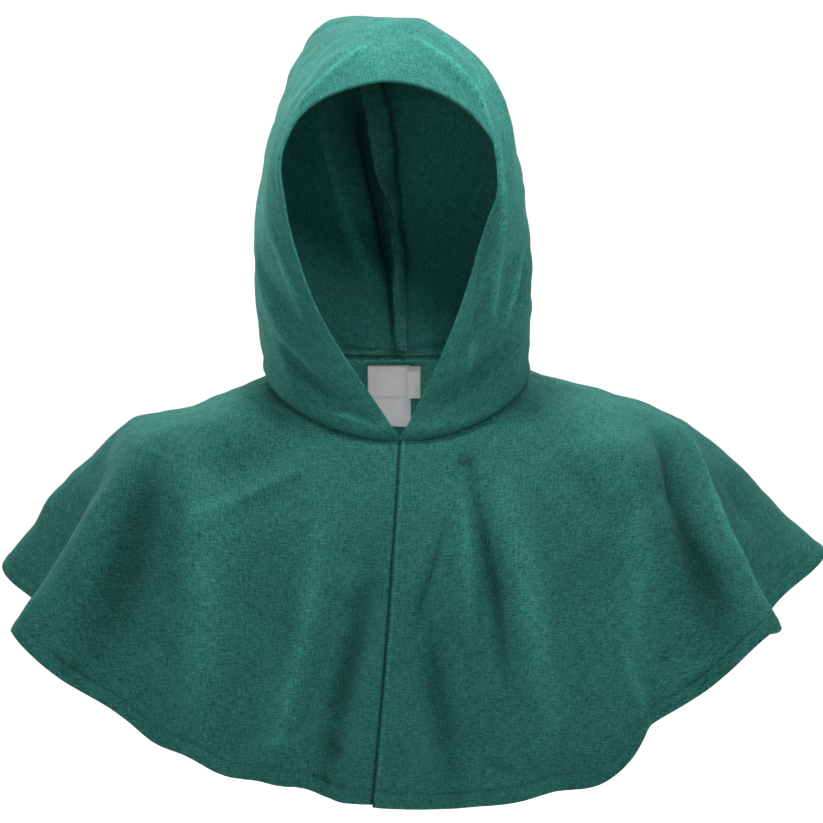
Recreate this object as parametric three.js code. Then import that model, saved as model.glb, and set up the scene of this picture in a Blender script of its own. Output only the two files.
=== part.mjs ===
// A cloth hood with a shoulder mantle, in millimetres. +Z is up, the face opening looks along -Y, and
// "left" and "right" are as seen from the front, so the right half lies on +X. The hood is one piece of cloth
// folded over the head and sewn down the back. The mantle is two panels, sewn at the front and at the back.
// Inside lie the hems, the seam allowances and the plain labels. The origin is where the crown of the head
// carries the hood.
import * as THREE from "three";

// The cloth and the way it is sewn.
const clothWall = 1.5;
const seamGap = 0.3;
const labelWall = 0.9;

// The neck seam: an oval that is low at the throat and high at the nape.
const neckHalfWidth = 108;
const neckFrontReach = 92;
const neckBackReach = 80;
const neckSideRise = 50;
const neckBackRise = 62;

// The hood above the throat point of the neck seam.
const crownHeight = 356;
const crownHalfWidth = 116;
const hoodBackReach = 126;
const openingSkew = 9;

// The mantle, measured along the cloth from the neck seam to the hem. The bend over the shoulder and the growth
// of a flute take these shares of its length. The front seam swings to the left on its way down, and the right
// panel hangs a step lower beside it, which is gone this share of the panel's width away.
const mantleLength = 318;
const bendHalfShare = 0.13;
const fluteGrowthShare = 0.25;
const frontSeamSwingDegrees = -6;
const hemStep = 2.4;
const hemStepShare = 1 / 6;

// What is turned in and sewn down inside.
const faceHemWidth = 22;
const mantleHemWidth = 13;
const neckAllowanceHeight = 9;
const panelAllowanceWidth = 12;
const backAllowanceWidth = 13;
const backAllowanceTopGap = 58;
const backAllowanceLeanDegrees = -45;
const backAllowanceTipShare = 0.8;

// The labels, sewn into the neck seam at the nape. They hang a little steeper than the cloth behind them.
const mainLabelWidth = 44;
const mainLabelLength = 30;
const mainLabelShift = -6;
const careLabelWidth = 36;
const careLabelLength = 62;
const careLabelShift = -9;
const labelSteeperDegrees = 9;

// Hoops of the hood, from the face opening (0) to the back seam (1). Turn is the share of the half turn round
// the neck seam where the hoop starts. Half is its half width at its widest place, and lean the sideways shift of
// its top: shares of crownHalfWidth. Mid and top are the heights of these two places, as shares of crownHeight,
// and midY and topY tell how far back they lie, as shares of hoodBackReach. Round is the power of its arch.
const hoops = [
  { at: 0.0, turn: 0.0, half: 0.76, mid: 0.64, midY: -0.74, top: 0.828, topY: -0.6, round: 1.95, lean: -0.03 },
  { at: 0.12, turn: 0.13, half: 0.875, mid: 0.56, midY: -0.58, top: 0.9, topY: -0.4, round: 2.15, lean: 0.0 },
  { at: 0.28, turn: 0.31, half: 0.97, mid: 0.42, midY: -0.3, top: 0.965, topY: -0.1, round: 2.3, lean: 0.03 },
  { at: 0.46, turn: 0.48, half: 1.0, mid: 0.4, midY: 0.08, top: 0.995, topY: 0.26, round: 2.35, lean: -0.02 },
  { at: 0.64, turn: 0.64, half: 0.93, mid: 0.43, midY: 0.46, top: 1.0, topY: 0.58, round: 2.3, lean: -0.14 },
  { at: 0.8, turn: 0.8, half: 0.7, mid: 0.48, midY: 0.76, top: 1.005, topY: 0.8, round: 2.2, lean: -0.34 },
  { at: 0.92, turn: 0.92, half: 0.36, mid: 0.52, midY: 0.94, top: 1.0, topY: 0.94, round: 2.0, lean: -0.46 },
  { at: 1.0, turn: 1.0, half: 0.0, mid: 0.55, midY: 1.0, top: 0.985, topY: 1.0, round: 2.0, lean: -0.52 },
];

// The opening's skew to the left: its share beside the ears, the hoops between which it fades there and goes to
// nothing, and the share of the hood's height over which it grows from the neck. The lean grows with a power of
// the height.
const skewAtEars = 0.6;
const skewFade = 0.25;
const skewEnd = 0.5;
const skewGrowth = 1 / 3;
const leanPower = 5;

// Folds of the hood. Side is -1 left or 1 right. A fold runs straight from one hoop and height share to another,
// and its width and depth are shares of crownHalfWidth. A negative depth is a dent.
const hoodFolds = [
  { side: 1, hoop: -0.02, up: 0.56, toHoop: 0.34, toUp: 0.8, width: 0.055, depth: 0.05 },
  { side: 1, hoop: 0.12, up: 0.87, toHoop: 0.02, toUp: 0.7, width: 0.03, depth: 0.02 },
  { side: 1, hoop: 0.04, up: 0.46, toHoop: 0.2, toUp: 0.14, width: 0.05, depth: -0.055 },
  { side: 1, hoop: 0.19, up: 0.44, toHoop: 0.31, toUp: 0.18, width: 0.045, depth: 0.06 },
  { side: 1, hoop: 0.42, up: 0.4, toHoop: 0.38, toUp: 0.12, width: 0.07, depth: -0.05 },
  { side: -1, hoop: 0.22, up: 0.96, toHoop: 0.03, toUp: 0.8, width: 0.05, depth: 0.03 },
  { side: -1, hoop: 0.26, up: 0.4, toHoop: 0.15, toUp: 0.18, width: 0.05, depth: 0.04 },
  { side: -1, hoop: 0.09, up: 0.42, toHoop: 0.16, toUp: 0.1, width: 0.05, depth: -0.03 },
  { side: -1, hoop: 0.88, up: 0.88, toHoop: 0.94, toUp: 0.28, width: 0.04, depth: -0.08 },
  { side: 1, hoop: 0.9, up: 0.84, toHoop: 0.94, toUp: 0.5, width: 0.05, depth: -0.04 },
];

// Sections of the mantle by the direction in which they fall, in degrees from the front. The slopes are degrees
// below level, above and below the bend over the shoulder. The bend and the length are shares of mantleLength.
const mantleSections = [
  { at: 0, upper: 60, lower: 76, bend: 0.3, length: 0.943 },
  { at: 22, upper: 57, lower: 76, bend: 0.3, length: 0.96 },
  { at: 42, upper: 43, lower: 73, bend: 0.3, length: 0.985 },
  { at: 56, upper: 28, lower: 66, bend: 0.34, length: 0.985 },
  { at: 68, upper: 19, lower: 60, bend: 0.4, length: 0.965 },
  { at: 90, upper: 15, lower: 62, bend: 0.42, length: 0.98 },
  { at: 110, upper: 17, lower: 57, bend: 0.42, length: 1.0 },
  { at: 135, upper: 32, lower: 64, bend: 0.36, length: 1.0 },
  { at: 158, upper: 46, lower: 70, bend: 0.3, length: 0.98 },
  { at: 180, upper: 50, lower: 72, bend: 0.3, length: 0.97 },
];

// Flutes of the mantle: direction and half width in degrees, the share of mantleLength where the flute starts,
// by how many degrees it lifts the slope below there, and how much longer it hangs, as a share of mantleLength.
// A negative lift is a hollow.
const flutes = [
  { at: -165, half: 12, start: 0.3, lift: 7, longer: 0 },
  { at: -139, half: 12, start: 0.3, lift: 8, longer: 0 },
  { at: -110, half: 13, start: 0.36, lift: 15, longer: 0 },
  { at: -92, half: 24, start: 0.0, lift: -3, longer: 0 },
  { at: -90, half: 9, start: 0.36, lift: -9, longer: 0 },
  { at: -69, half: 9, start: 0.36, lift: 8, longer: 0 },
  { at: -56, half: 7, start: 0.36, lift: -4, longer: -0.015 },
  { at: -40, half: 9, start: 0.4, lift: 3, longer: -0.01 },
  { at: -15, half: 8, start: 0.5, lift: -2, longer: -0.01 },
  { at: 16, half: 9, start: 0.4, lift: -3, longer: 0 },
  { at: 30, half: 8, start: 0.5, lift: 2, longer: 0.01 },
  { at: 44, half: 6, start: 0.5, lift: 4, longer: 0.03 },
  { at: 54, half: 5, start: 0.4, lift: -9, longer: -0.02 },
  { at: 65, half: 8, start: 0.36, lift: 10, longer: -0.03 },
  { at: 84, half: 9, start: 0.36, lift: -9, longer: 0 },
  { at: 105, half: 14, start: 0.32, lift: 18, longer: 0 },
  { at: 138, half: 12, start: 0.3, lift: 8, longer: 0 },
  { at: 165, half: 12, start: 0.3, lift: 7, longer: 0 },
];

// A fold keeps this share of its depth at its ends, and all folds end this share of the arch from the neck seam
// and the crown. The flatness of a flute's sides is the power of its fall from the middle.
const foldEndShare = 0.12;
const foldEdgeShare = 1 / 12;
const fluteFlatness = 1.4;

// How finely the sheets are cut into faces.
const hoopSteps = 24;
const archSteps = 44;
const mantleSteps = 46;
const fallSteps = 11;
const labelSteps = 4;
const finer = 4;

const halfTurn = Math.PI;
const radians = (degrees) => (degrees * Math.PI) / 180;
const mix = (a, b, share) => a + (b - a) * share;
const clamp01 = (x) => Math.min(1, Math.max(0, x));
const smooth = (x) => clamp01(x) ** 2 * (3 - 2 * clamp01(x));
const turned = (rows) => rows[0].map((_, j) => rows.map((row) => row[j]));

// The value of one column of a table at a place between its rows, as a smooth curve through the rows.
function column(rows, key, at) {
  const last = rows.length - 1;
  let i = 0;
  while (i < last - 1 && at > rows[i + 1].at) i++;
  const slope = (k) => {
    const a = rows[Math.max(0, k - 1)];
    const b = rows[Math.min(last, k + 1)];
    return (b[key] - a[key]) / (b.at - a.at);
  };
  const span = rows[i + 1].at - rows[i].at;
  const s = clamp01((at - rows[i].at) / span);
  return (
    (2 * s ** 3 - 3 * s ** 2 + 1) * rows[i][key] +
    (s ** 3 - 2 * s ** 2 + s) * span * slope(i) +
    (3 * s ** 2 - 2 * s ** 3) * rows[i + 1][key] +
    (s ** 3 - s ** 2) * span * slope(i + 1)
  );
}

// A point of the neck seam at an angle from the throat, in radians.
function neckPoint(angle) {
  const reach = mix(neckFrontReach, neckBackReach, (1 - Math.cos(angle)) / 2);
  const sway = (neckSideRise - neckBackRise / 2) / 2;
  return new THREE.Vector3(
    neckHalfWidth * Math.sin(angle),
    -reach * Math.cos(angle),
    (neckBackRise / 2) * (1 - Math.cos(angle)) + sway * (1 - Math.cos(2 * angle)),
  );
}

// One half of a hoop, from the neck seam up to the fold over the crown. Its first step is the height of the
// neck seam's allowance, and the others are even.
function halfHoop(at, side) {
  const value = (key) => column(hoops, key, at);
  const start = neckPoint(side * halfTurn * value("turn"));
  const half = crownHalfWidth * value("half");
  const mid = crownHeight * value("mid");
  const midY = hoodBackReach * value("midY");
  const top = crownHeight * value("top");
  const topY = hoodBackReach * value("topY");
  const round = 2 / value("round");
  const lean = crownHalfWidth * value("lean");
  const toEars = mix(1, skewAtEars, smooth(at / skewFade));
  const skew = openingSkew * (at < skewEnd ? toEars : mix(toEars, 0, smooth(at / skewEnd - 1)));
  const line = [];
  const parts = archSteps * 2;
  for (let k = 0; k <= 2 * parts; k++) {
    const low = Math.min(1, k / parts);
    const high = Math.max(0, k / parts - 1) * (Math.PI / 2);
    const rise = Math.sin(high) ** round;
    const wall = mix(Math.abs(start.x), half, Math.sin((low * Math.PI) / 2));
    const x = k <= parts ? wall : half * Math.cos(high) ** round;
    const z = k <= parts ? mix(start.z, mid, low) : mix(mid, top, rise);
    const y = k <= parts ? mix(start.y, midY, smooth(low)) : mix(midY, topY, rise);
    const share = z / crownHeight;
    const sway = lean * share ** leanPower - skew * smooth(share / skewGrowth);
    line.push(new THREE.Vector3(side * x + sway, y, z));
  }
  return spaced(line, [neckAllowanceHeight], archSteps / 2);
}

// Points along a line: the first at the distances given, and the others at even distances up to its end.
function spaced(line, first, steps) {
  const run = [0];
  for (let k = 1; k < line.length; k++) run.push(run[k - 1] + line[k].distanceTo(line[k - 1]));
  const total = run[run.length - 1];
  const from = first[first.length - 1];
  const rest = steps - first.length;
  const places = [0, ...first];
  for (let i = 1; i <= rest; i++) places.push(mix(from, total, i / rest));
  let k = 1;
  return places.map((want) => {
    while (k < line.length - 1 && run[k] < want) k++;
    const span = run[k] - run[k - 1];
    return line[k - 1].clone().lerp(line[k], span > 0 ? clamp01((want - run[k - 1]) / span) : 0);
  });
}

// How far the folds push the hood out at a hoop and at a share of the arch from the neck to the crown.
function foldHeight(side, at, up) {
  let height = 0;
  for (const fold of hoodFolds.filter((f) => f.side === side)) {
    const along = new THREE.Vector2(fold.toHoop - fold.hoop, fold.toUp - fold.up);
    const from = new THREE.Vector2(at - fold.hoop, up - fold.up);
    const share = clamp01(from.dot(along) / along.lengthSq());
    const off = from.addScaledVector(along, -share).length() / fold.width;
    const swell = Math.sin(Math.PI * mix(foldEndShare, 1 - foldEndShare, share));
    height += fold.depth * crownHalfWidth * Math.exp(-off * off) * swell;
  }
  return height * smooth(Math.min(1 - up, up) / foldEdgeShare);
}

// The hood's outer surface as rows of points: a row is a whole hoop, from the left neck over the crown. The
// first rows lie at the width of the face hem, so that the hem follows them.
function hoodRows() {
  const crown = archSteps / 2;
  const smoothRows = [];
  for (let i = 0; i <= hoopSteps * finer; i++) {
    const at = i / (hoopSteps * finer);
    smoothRows.push([...halfHoop(at, -1), ...halfHoop(at, 1).slice(0, crown).reverse()]);
  }
  const normals = rowNormals(smoothRows, { zipped: true });
  const folded = smoothRows.map((row, i) =>
    row.map((point, j) => {
      const up = 1 - Math.abs(j - crown) / crown;
      const height = foldHeight(j <= crown ? -1 : 1, i / (hoopSteps * finer), up);
      return point.addScaledVector(normals[i][j], height);
    }),
  );
  return turned(turned(folded).map((line) => spaced(line, [faceHemWidth / 2, faceHemWidth], hoopSteps)));
}

// Unit normals of a sheet given as rows of points. A zipped sheet's last row is folded on itself, so that its
// two halves share one normal at each point of the seam, and where the halves lie flat on each other it points
// up and back.
const foldedFlat = 0.2;
function rowNormals(rows, { zipped = false, flip = false } = {}) {
  const last = rows.length - 1;
  const width = rows[0].length;
  const normals = rows.map((row, i) =>
    row.map((_, j) => {
      const down = rows[Math.min(last, i + 1)][j].clone().sub(rows[Math.max(0, i - 1)][j]);
      const across = row[Math.min(width - 1, j + 1)].clone().sub(row[Math.max(0, j - 1)]);
      return across.cross(down).normalize().multiplyScalar(flip ? -1 : 1);
    }),
  );
  if (zipped) {
    const seam = normals[last];
    const cut = seam.map((n, j) => n.clone().add(seam[width - 1 - j]));
    const crown = (width - 1) / 2;
    cut.forEach((n, j) => {
      const flat = n.length() < foldedFlat || j === crown;
      seam[j].copy(flat ? normals[last - 1][crown].clone().add(new THREE.Vector3(0, 1, 0)) : n).normalize();
    });
  }
  return normals;
}

// A sheet of cloth as a closed solid: the outer rows, the inner rows a wall's thickness inside, and the rim.
function sheetGeometry(outer, inner, { zipped = false } = {}) {
  const width = outer[0].length;
  const points = [...outer.flat(), ...inner.flat()];
  const inside = outer.length * width;
  const last = outer.length - 1;
  const fold = (i, j) => (zipped && i === last ? Math.min(j, width - 1 - j) : j);
  const at = (i, j, layer) => layer * inside + i * width + fold(i, j);
  const faces = [];
  const quad = (a, b, c, d) => {
    if (a !== b && b !== c && a !== c) faces.push(a, b, c);
    if (a !== c && c !== d && a !== d) faces.push(a, c, d);
  };
  for (let i = 0; i < last; i++) {
    for (let j = 0; j < width - 1; j++) {
      quad(at(i, j, 0), at(i, j + 1, 0), at(i + 1, j + 1, 0), at(i + 1, j, 0));
      quad(at(i, j, 1), at(i + 1, j, 1), at(i + 1, j + 1, 1), at(i, j + 1, 1));
    }
    quad(at(i, 0, 0), at(i + 1, 0, 0), at(i + 1, 0, 1), at(i, 0, 1));
    quad(at(i, width - 1, 0), at(i, width - 1, 1), at(i + 1, width - 1, 1), at(i + 1, width - 1, 0));
  }
  for (let j = 0; j < width - 1; j++) {
    quad(at(0, j, 0), at(0, j, 1), at(0, j + 1, 1), at(0, j + 1, 0));
    if (!zipped) quad(at(last, j, 0), at(last, j + 1, 0), at(last, j + 1, 1), at(last, j, 1));
  }
  const geometry = new THREE.BufferGeometry();
  const used = [...new Set(faces)].sort((a, b) => a - b);
  const place = new Map(used.map((v, k) => [v, k]));
  const places = used.flatMap((v) => points[v].toArray());
  geometry.setAttribute("position", new THREE.Float32BufferAttribute(places, 3));
  geometry.setIndex(faces.map((v) => place.get(v)));
  return geometry;
}

// Rows moved along their normals, inwards where the distance is positive.
const inset = (rows, normals, distance) =>
  rows.map((row, i) => row.map((p, j) => p.clone().addScaledVector(normals[i][j], -distance)));

// How much of a flute is felt in a direction, from 1 along its middle to almost nothing two half widths away.
function fluteShape(flute, direction) {
  return Math.exp(-fluteFlatness * ((direction - flute.at) / flute.half) ** 2);
}

// The slope of the mantle, in degrees below level, in a direction and at a share of its length.
function mantleSlope(direction, share) {
  const value = (key) => column(mantleSections, key, Math.abs(direction));
  let lift = 0;
  for (const flute of flutes) {
    lift += flute.lift * fluteShape(flute, direction) * smooth((share - flute.start) / fluteGrowthShare);
  }
  const bent = smooth(0.5 + (share - value("bend")) / (2 * bendHalfShare));
  return mix(value("upper"), value("lower"), bent) - lift;
}

// The length of the mantle's cloth in a direction, from the neck seam to the hem.
function mantleReach(direction) {
  let share = column(mantleSections, "length", Math.abs(direction));
  for (const flute of flutes) share += flute.longer * fluteShape(flute, direction);
  return mantleLength * share;
}

// One fall of the mantle from the neck seam to the hem. Its last step is the width of the hem.
function mantleFall(directionAt, length) {
  const parts = fallSteps * finer * 2;
  const line = [];
  let reach = 0;
  let drop = 0;
  for (let k = 0; k <= parts; k++) {
    const share = k / parts;
    const direction = directionAt(share);
    const angle = radians(direction);
    const neck = neckPoint(angle);
    const x = neck.x + reach * Math.sin(angle);
    const y = neck.y - reach * Math.cos(angle);
    line.push(new THREE.Vector3(x, y, neck.z - drop));
    const slope = radians(mantleSlope(direction, share + 0.5 / parts));
    reach += (Math.cos(slope) * length) / parts;
    drop += (Math.sin(slope) * length) / parts;
  }
  return spaced(line.reverse(), [mantleHemWidth], fallSteps).reverse();
}

// A mantle panel's outer surface: each row is at one distance from the neck, from the front seam to the back
// seam. The panels keep the seam's gap between them and lie as far below the hood.
function mantleRows(side) {
  const falls = [];
  for (let j = 0; j <= mantleSteps; j++) {
    const round = j / mantleSteps;
    const step = side > 0 ? hemStep * (1 - smooth(round / hemStepShare)) : 0;
    const length = mantleReach(side * 180 * round) + step;
    falls.push(mantleFall((share) => mix(frontSeamSwingDegrees * share, side * 180, round), length));
  }
  const clear = new THREE.Vector3((side * seamGap) / 2, 0, -seamGap);
  return turned(falls).map((row) => row.map((point) => point.add(clear)));
}

const material = (color, roughness) =>
  new THREE.MeshStandardMaterial({ color, roughness, metalness: 0, side: THREE.DoubleSide });
const greenCloth = material(0x2b6a5c, 0.95);
const greenClothInside = material(0x2f7364, 0.95);
const whiteTape = material(0xc9c6c8, 0.8);

// A named mesh, with its faces turned out.
function named(name, geometry, look) {
  const position = geometry.getAttribute("position");
  const index = geometry.getIndex();
  const [a, b, c] = [new THREE.Vector3(), new THREE.Vector3(), new THREE.Vector3()];
  let volume = 0;
  for (let i = 0; i < index.count; i += 3) {
    a.fromBufferAttribute(position, index.getX(i));
    b.fromBufferAttribute(position, index.getX(i + 1));
    c.fromBufferAttribute(position, index.getX(i + 2));
    volume += a.dot(b.cross(c)) / 6;
  }
  if (volume < 0) geometry.setIndex([...index.array].reverse());
  geometry.computeVertexNormals();
  const mesh = new THREE.Mesh(geometry, look);
  mesh.name = name;
  return mesh;
}

// A layer of cloth under a sheet: it lies the given depth below the sheet's outer surface.
function layerUnder(rows, normals, depth, thickness, options) {
  return sheetGeometry(inset(rows, normals, depth), inset(rows, normals, depth + thickness), options);
}

const insideLayer = clothWall + seamGap;

function hoodPieces(rows) {
  const normals = rowNormals(rows, { zipped: true });
  const hood = layerUnder(rows, normals, 0, clothWall, { zipped: true });
  const hem = layerUnder(rows.slice(0, 3), normals.slice(0, 3), insideLayer, clothWall);
  return [
    named("hood", hood, greenCloth),
    named("face_hem", hem, greenClothInside),
    neckAllowance(rows, normals),
    backAllowance(rows, normals),
  ];
}

// The neck seam's two raw edges, turned up inside the hood from one end of the face hem to the other.
function neckAllowance(rows, normals) {
  const last = rows.length - 1;
  const round = (grid, fromEdge) => {
    const left = grid.slice(2).map((row) => row[fromEdge]);
    const right = grid.slice(2, last).map((row) => row[row.length - 1 - fromEdge]);
    return [...left, ...right.reverse()];
  };
  const band = [round(rows, 1), round(rows, 0)];
  const bandNormals = [round(normals, 1), round(normals, 0)];
  const edges = layerUnder(band, bandNormals, insideLayer, 2 * clothWall);
  return named("neck_seam_allowance", edges, greenClothInside);
}

// The back seam's two raw edges, which stand off the seam inside the hood and lean to the left half way up. The
// lean is nothing below the first of these shares of the seam's length from the crown and full from the second
// on, and at the neck it goes back in the same way.
const leanFromCrown = [0.133, 0.467];
const leanToNeck = [0.85, 0.6];
const between = ([start, full], share) => smooth((share - start) / (full - start));
function backAllowance(rows, normals) {
  const last = rows.length - 1;
  const lean = radians(backAllowanceLeanDegrees);
  const out = [[], []];
  const inside = [[], []];
  const crown = rows[last][archSteps / 2];
  const length = rows[last][0].distanceTo(crown);
  for (let j = 2; j < archSteps / 2; j++) {
    const left = rows[last][j].distanceTo(crown);
    if (left < backAllowanceTopGap) break;
    const inward = normals[last][j].clone().negate();
    const along = rows[last][j + 1].clone().sub(rows[last][j]).normalize();
    const share = left / length;
    const turn = lean * between(leanFromCrown, share) * between(leanToNeck, share);
    const way = inward.applyAxisAngle(along, turn).normalize();
    const across = way.clone().cross(along).normalize();
    const clear = 2 * seamGap + clothWall * (1 + Math.abs(Math.sin(turn)));
    const foot = rows[last][j].clone().addScaledVector(normals[last][j], -clear);
    const tip = foot.clone().addScaledVector(way, backAllowanceWidth);
    [foot, tip].forEach((point, k) => {
      const wall = clothWall * mix(1, backAllowanceTipShare, k);
      out[k].push(point.clone().addScaledVector(across, wall));
      inside[k].push(point.clone().addScaledVector(across, -wall));
    });
  }
  return named("back_seam_allowance", sheetGeometry(out, inside), greenClothInside);
}

// A point on a row at a distance from its start, with its normal.
function alongRow(row, normals, distance) {
  let k = 1;
  let run = 0;
  while (k < row.length - 1 && run + row[k].distanceTo(row[k - 1]) < distance) {
    run += row[k].distanceTo(row[k - 1]);
    k++;
  }
  const share = (distance - run) / row[k].distanceTo(row[k - 1]);
  return [row[k - 1].clone().lerp(row[k], share), normals[k - 1].clone().lerp(normals[k], share)];
}

// The pressed-open edges of a seam between two panels, from the neck down to the hem's own layer, from which
// they keep a small share of a step.
const allowanceEndShare = 0.04;
function panelAllowance(name, panels) {
  const rows = [];
  const normals = [];
  for (let i = 0; i < fallSteps; i++) {
    const ends = panels.map((panel) => alongRow(panel.rows[i], panel.normals[i], panelAllowanceWidth));
    const starts = panels.map((panel) => alongRow(panel.rows[i], panel.normals[i], 0));
    const middle = [0, 1].map((k) => starts[0][k].clone().lerp(starts[1][k], 0.5));
    rows.push([ends[0][0], middle[0], ends[1][0]]);
    normals.push([ends[0][1], middle[1], ends[1][1]]);
  }
  const last = fallSteps - 1;
  rows[last] = rows[last].map((point, k) => point.clone().lerp(rows[last - 1][k], allowanceEndShare));
  return named(name, layerUnder(rows, normals, insideLayer + seamGap, clothWall), greenClothInside);
}

function mantlePieces() {
  const panels = [-1, 1].map((side) => {
    const rows = mantleRows(side);
    const normals = rowNormals(rows, { flip: side > 0 });
    return { side, rows, normals };
  });
  const pieces = panels.flatMap(({ side, rows, normals }) => {
    const name = side < 0 ? "mantle_left" : "mantle_right";
    const hem = layerUnder(rows.slice(-2), normals.slice(-2), insideLayer, clothWall);
    return [
      named(name, layerUnder(rows, normals, 0, clothWall), greenCloth),
      named(`${name}_hem`, hem, greenClothInside),
    ];
  });
  const fromBack = panels.map(({ rows, normals }) => ({
    rows: rows.map((row) => [...row].reverse()),
    normals: normals.map((row) => [...row].reverse()),
  }));
  return [
    ...pieces,
    panelAllowance("front_seam_allowance", panels),
    panelAllowance("mantle_back_allowance", fromBack),
  ];
}

// A bare label that hangs from the neck seam at the nape. Its top edge lies the given depth below the mantle's
// outer surface, and it falls a little steeper than the cloth.
function label(name, width, length, shift, depth) {
  const clothSlope = radians(mantleSlope(180, 0));
  const slope = clothSlope + radians(labelSteeperDegrees);
  const rows = [];
  for (let i = 0; i <= labelSteps; i++) {
    const down = seamGap + clothWall + (length * i) / labelSteps;
    const row = [];
    for (let j = 0; j <= labelSteps; j++) {
      const across = shift + width * (j / labelSteps - 0.5);
      const neck = neckPoint(halfTurn - Math.asin(across / neckHalfWidth));
      const back = down * Math.cos(slope) - depth * Math.sin(clothSlope);
      const low = down * Math.sin(slope) + depth * Math.cos(clothSlope);
      row.push(new THREE.Vector3(across, neck.y + back, neck.z - low));
    }
    rows.push(row);
  }
  return named(name, layerUnder(rows, rowNormals(rows), 0, labelWall), whiteTape);
}

function labels() {
  const careDepth = insideLayer + seamGap + clothWall + seamGap;
  const mainDepth = careDepth + labelWall + seamGap;
  return [
    label("care_label", careLabelWidth, careLabelLength, careLabelShift, careDepth),
    label("main_label", mainLabelWidth, mainLabelLength, mainLabelShift, mainDepth),
  ];
}

// The height above the throat at which the crown of the head carries the hood: the cloth's inner side straight
// above the middle of the neck.
function seatHeight(rows) {
  const crown = rows.map((row) => row[archSteps / 2]);
  const after = crown.findIndex((point) => point.y > 0);
  const [a, b] = [crown[after - 1], crown[after]];
  return a.clone().lerp(b, -a.y / (b.y - a.y)).z - clothWall;
}

const hoodCloth = hoodRows();
const group = new THREE.Group();
group.name = "hood_with_mantle";
group.add(...hoodPieces(hoodCloth), ...mantlePieces(), ...labels());
group.position.z = -seatHeight(hoodCloth);
export default group;
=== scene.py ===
"""A green cotton hood with a shoulder mantle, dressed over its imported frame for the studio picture.

Shapes are worked out in millimetres, above the throat point of the neck seam and from the same sizes as the
frame's solids, and are turned to metres under the crown when a mesh is made. Left and right are as seen from
the front.
"""

from __future__ import annotations

import logging
import math
from collections.abc import Mapping, Sequence
from dataclasses import dataclass, field, fields
from enum import Enum

import bpy
import numpy as np
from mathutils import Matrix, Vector

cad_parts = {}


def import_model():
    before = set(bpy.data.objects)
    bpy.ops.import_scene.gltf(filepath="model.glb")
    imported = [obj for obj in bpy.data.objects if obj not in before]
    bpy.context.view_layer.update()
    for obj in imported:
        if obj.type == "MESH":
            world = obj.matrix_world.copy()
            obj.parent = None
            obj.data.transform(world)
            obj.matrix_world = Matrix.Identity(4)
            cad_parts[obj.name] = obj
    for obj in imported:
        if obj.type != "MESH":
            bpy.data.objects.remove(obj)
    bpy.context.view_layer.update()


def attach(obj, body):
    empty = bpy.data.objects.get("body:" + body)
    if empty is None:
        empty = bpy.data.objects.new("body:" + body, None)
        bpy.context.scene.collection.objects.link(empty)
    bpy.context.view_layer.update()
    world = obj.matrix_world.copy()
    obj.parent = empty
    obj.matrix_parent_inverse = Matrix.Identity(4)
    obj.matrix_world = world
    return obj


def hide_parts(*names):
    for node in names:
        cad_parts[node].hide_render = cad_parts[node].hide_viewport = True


LOG = logging.getLogger("hood")
METRES = 0.001
# Faces round the fold of a sheet's edge, and steps of a section of hood or mantle.
TURN_STEPS = 4
SECTION_STEPS = 88
# How thin a thread's end is, as a share of its radius.
THREAD_TIP = 0.45
# The width of crease whose height is the painted shading (painted shade in valleys, painted highlight on
# crests), and the distance between the labels (millimetres).
SHADE_PAINT_WIDTH = 12
LABEL_STEP = 1.2


# ---- Small mathematics ----


def clamp01(value: np.ndarray | float) -> np.ndarray:
    """Hold a value between nothing and one."""
    return np.clip(value, 0.0, 1.0)


def smooth(value: np.ndarray | float) -> np.ndarray:
    """Ease a value from nothing to one, level at both ends."""
    held = clamp01(value)
    return held * held * (3.0 - 2.0 * held)


def mix(low: np.ndarray | float, high: np.ndarray | float, share: np.ndarray | float) -> np.ndarray:
    """Go from low to high by a share."""
    return low + (high - low) * share


def bell(distance: np.ndarray | float, width: float) -> np.ndarray:
    """Rise to one at no distance and fall to almost nothing two widths away."""
    return np.exp(-((np.asarray(distance) / width) ** 2))


def column(rows: Sequence[object], key: str, at: np.ndarray | float) -> np.ndarray:
    """Read one column of a table at places between its rows, as a smooth curve through the rows.

    Args:
        rows: table rows that have a place named at.
        key: name of the column.
        at: the places to read.

    Returns:
        The column's values there.
    """
    places = np.array([row.at for row in rows], float)
    values = np.array([getattr(row, key) for row in rows], float)
    last = len(rows) - 1
    before = np.maximum(np.arange(last + 1) - 1, 0)
    after = np.minimum(np.arange(last + 1) + 1, last)
    slopes = (values[after] - values[before]) / (places[after] - places[before])
    at = np.asarray(at, float)
    i = np.clip(np.searchsorted(places, at, side="left") - 1, 0, last - 1)
    span = places[i + 1] - places[i]
    s = clamp01((at - places[i]) / span)
    return (
        (2 * s**3 - 3 * s**2 + 1) * values[i]
        + (s**3 - 2 * s**2 + s) * span * slopes[i]
        + (3 * s**2 - 2 * s**3) * values[i + 1]
        + (s**3 - s**2) * span * slopes[i + 1]
    )


def run_lengths(lines: np.ndarray) -> np.ndarray:
    """Measure along lines of points.

    Args:
        lines: points, with the step along each line on the last axis but one.

    Returns:
        The distance of each point from its line's start.
    """
    steps = np.linalg.norm(np.diff(lines, axis=-2), axis=-1)
    return np.concatenate([np.zeros(steps.shape[:-1] + (1,)), np.cumsum(steps, axis=-1)], axis=-1)


def along(line: np.ndarray, places: np.ndarray, values: np.ndarray | None = None) -> np.ndarray:
    """Find the points at given distances along one line.

    Args:
        line: the line's points.
        places: distances from its start.
        values: vectors at the line's points, to be read instead of the points themselves.

    Returns:
        One point or vector for each distance.
    """
    run = run_lengths(line)
    found = line if values is None else values
    return np.stack([np.interp(places, run, found[:, k]) for k in range(3)], axis=-1)


def unit(vectors: np.ndarray) -> np.ndarray:
    """Scale vectors to a length of one."""
    return vectors / np.maximum(np.linalg.norm(vectors, axis=-1, keepdims=True), 1e-9)


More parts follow.
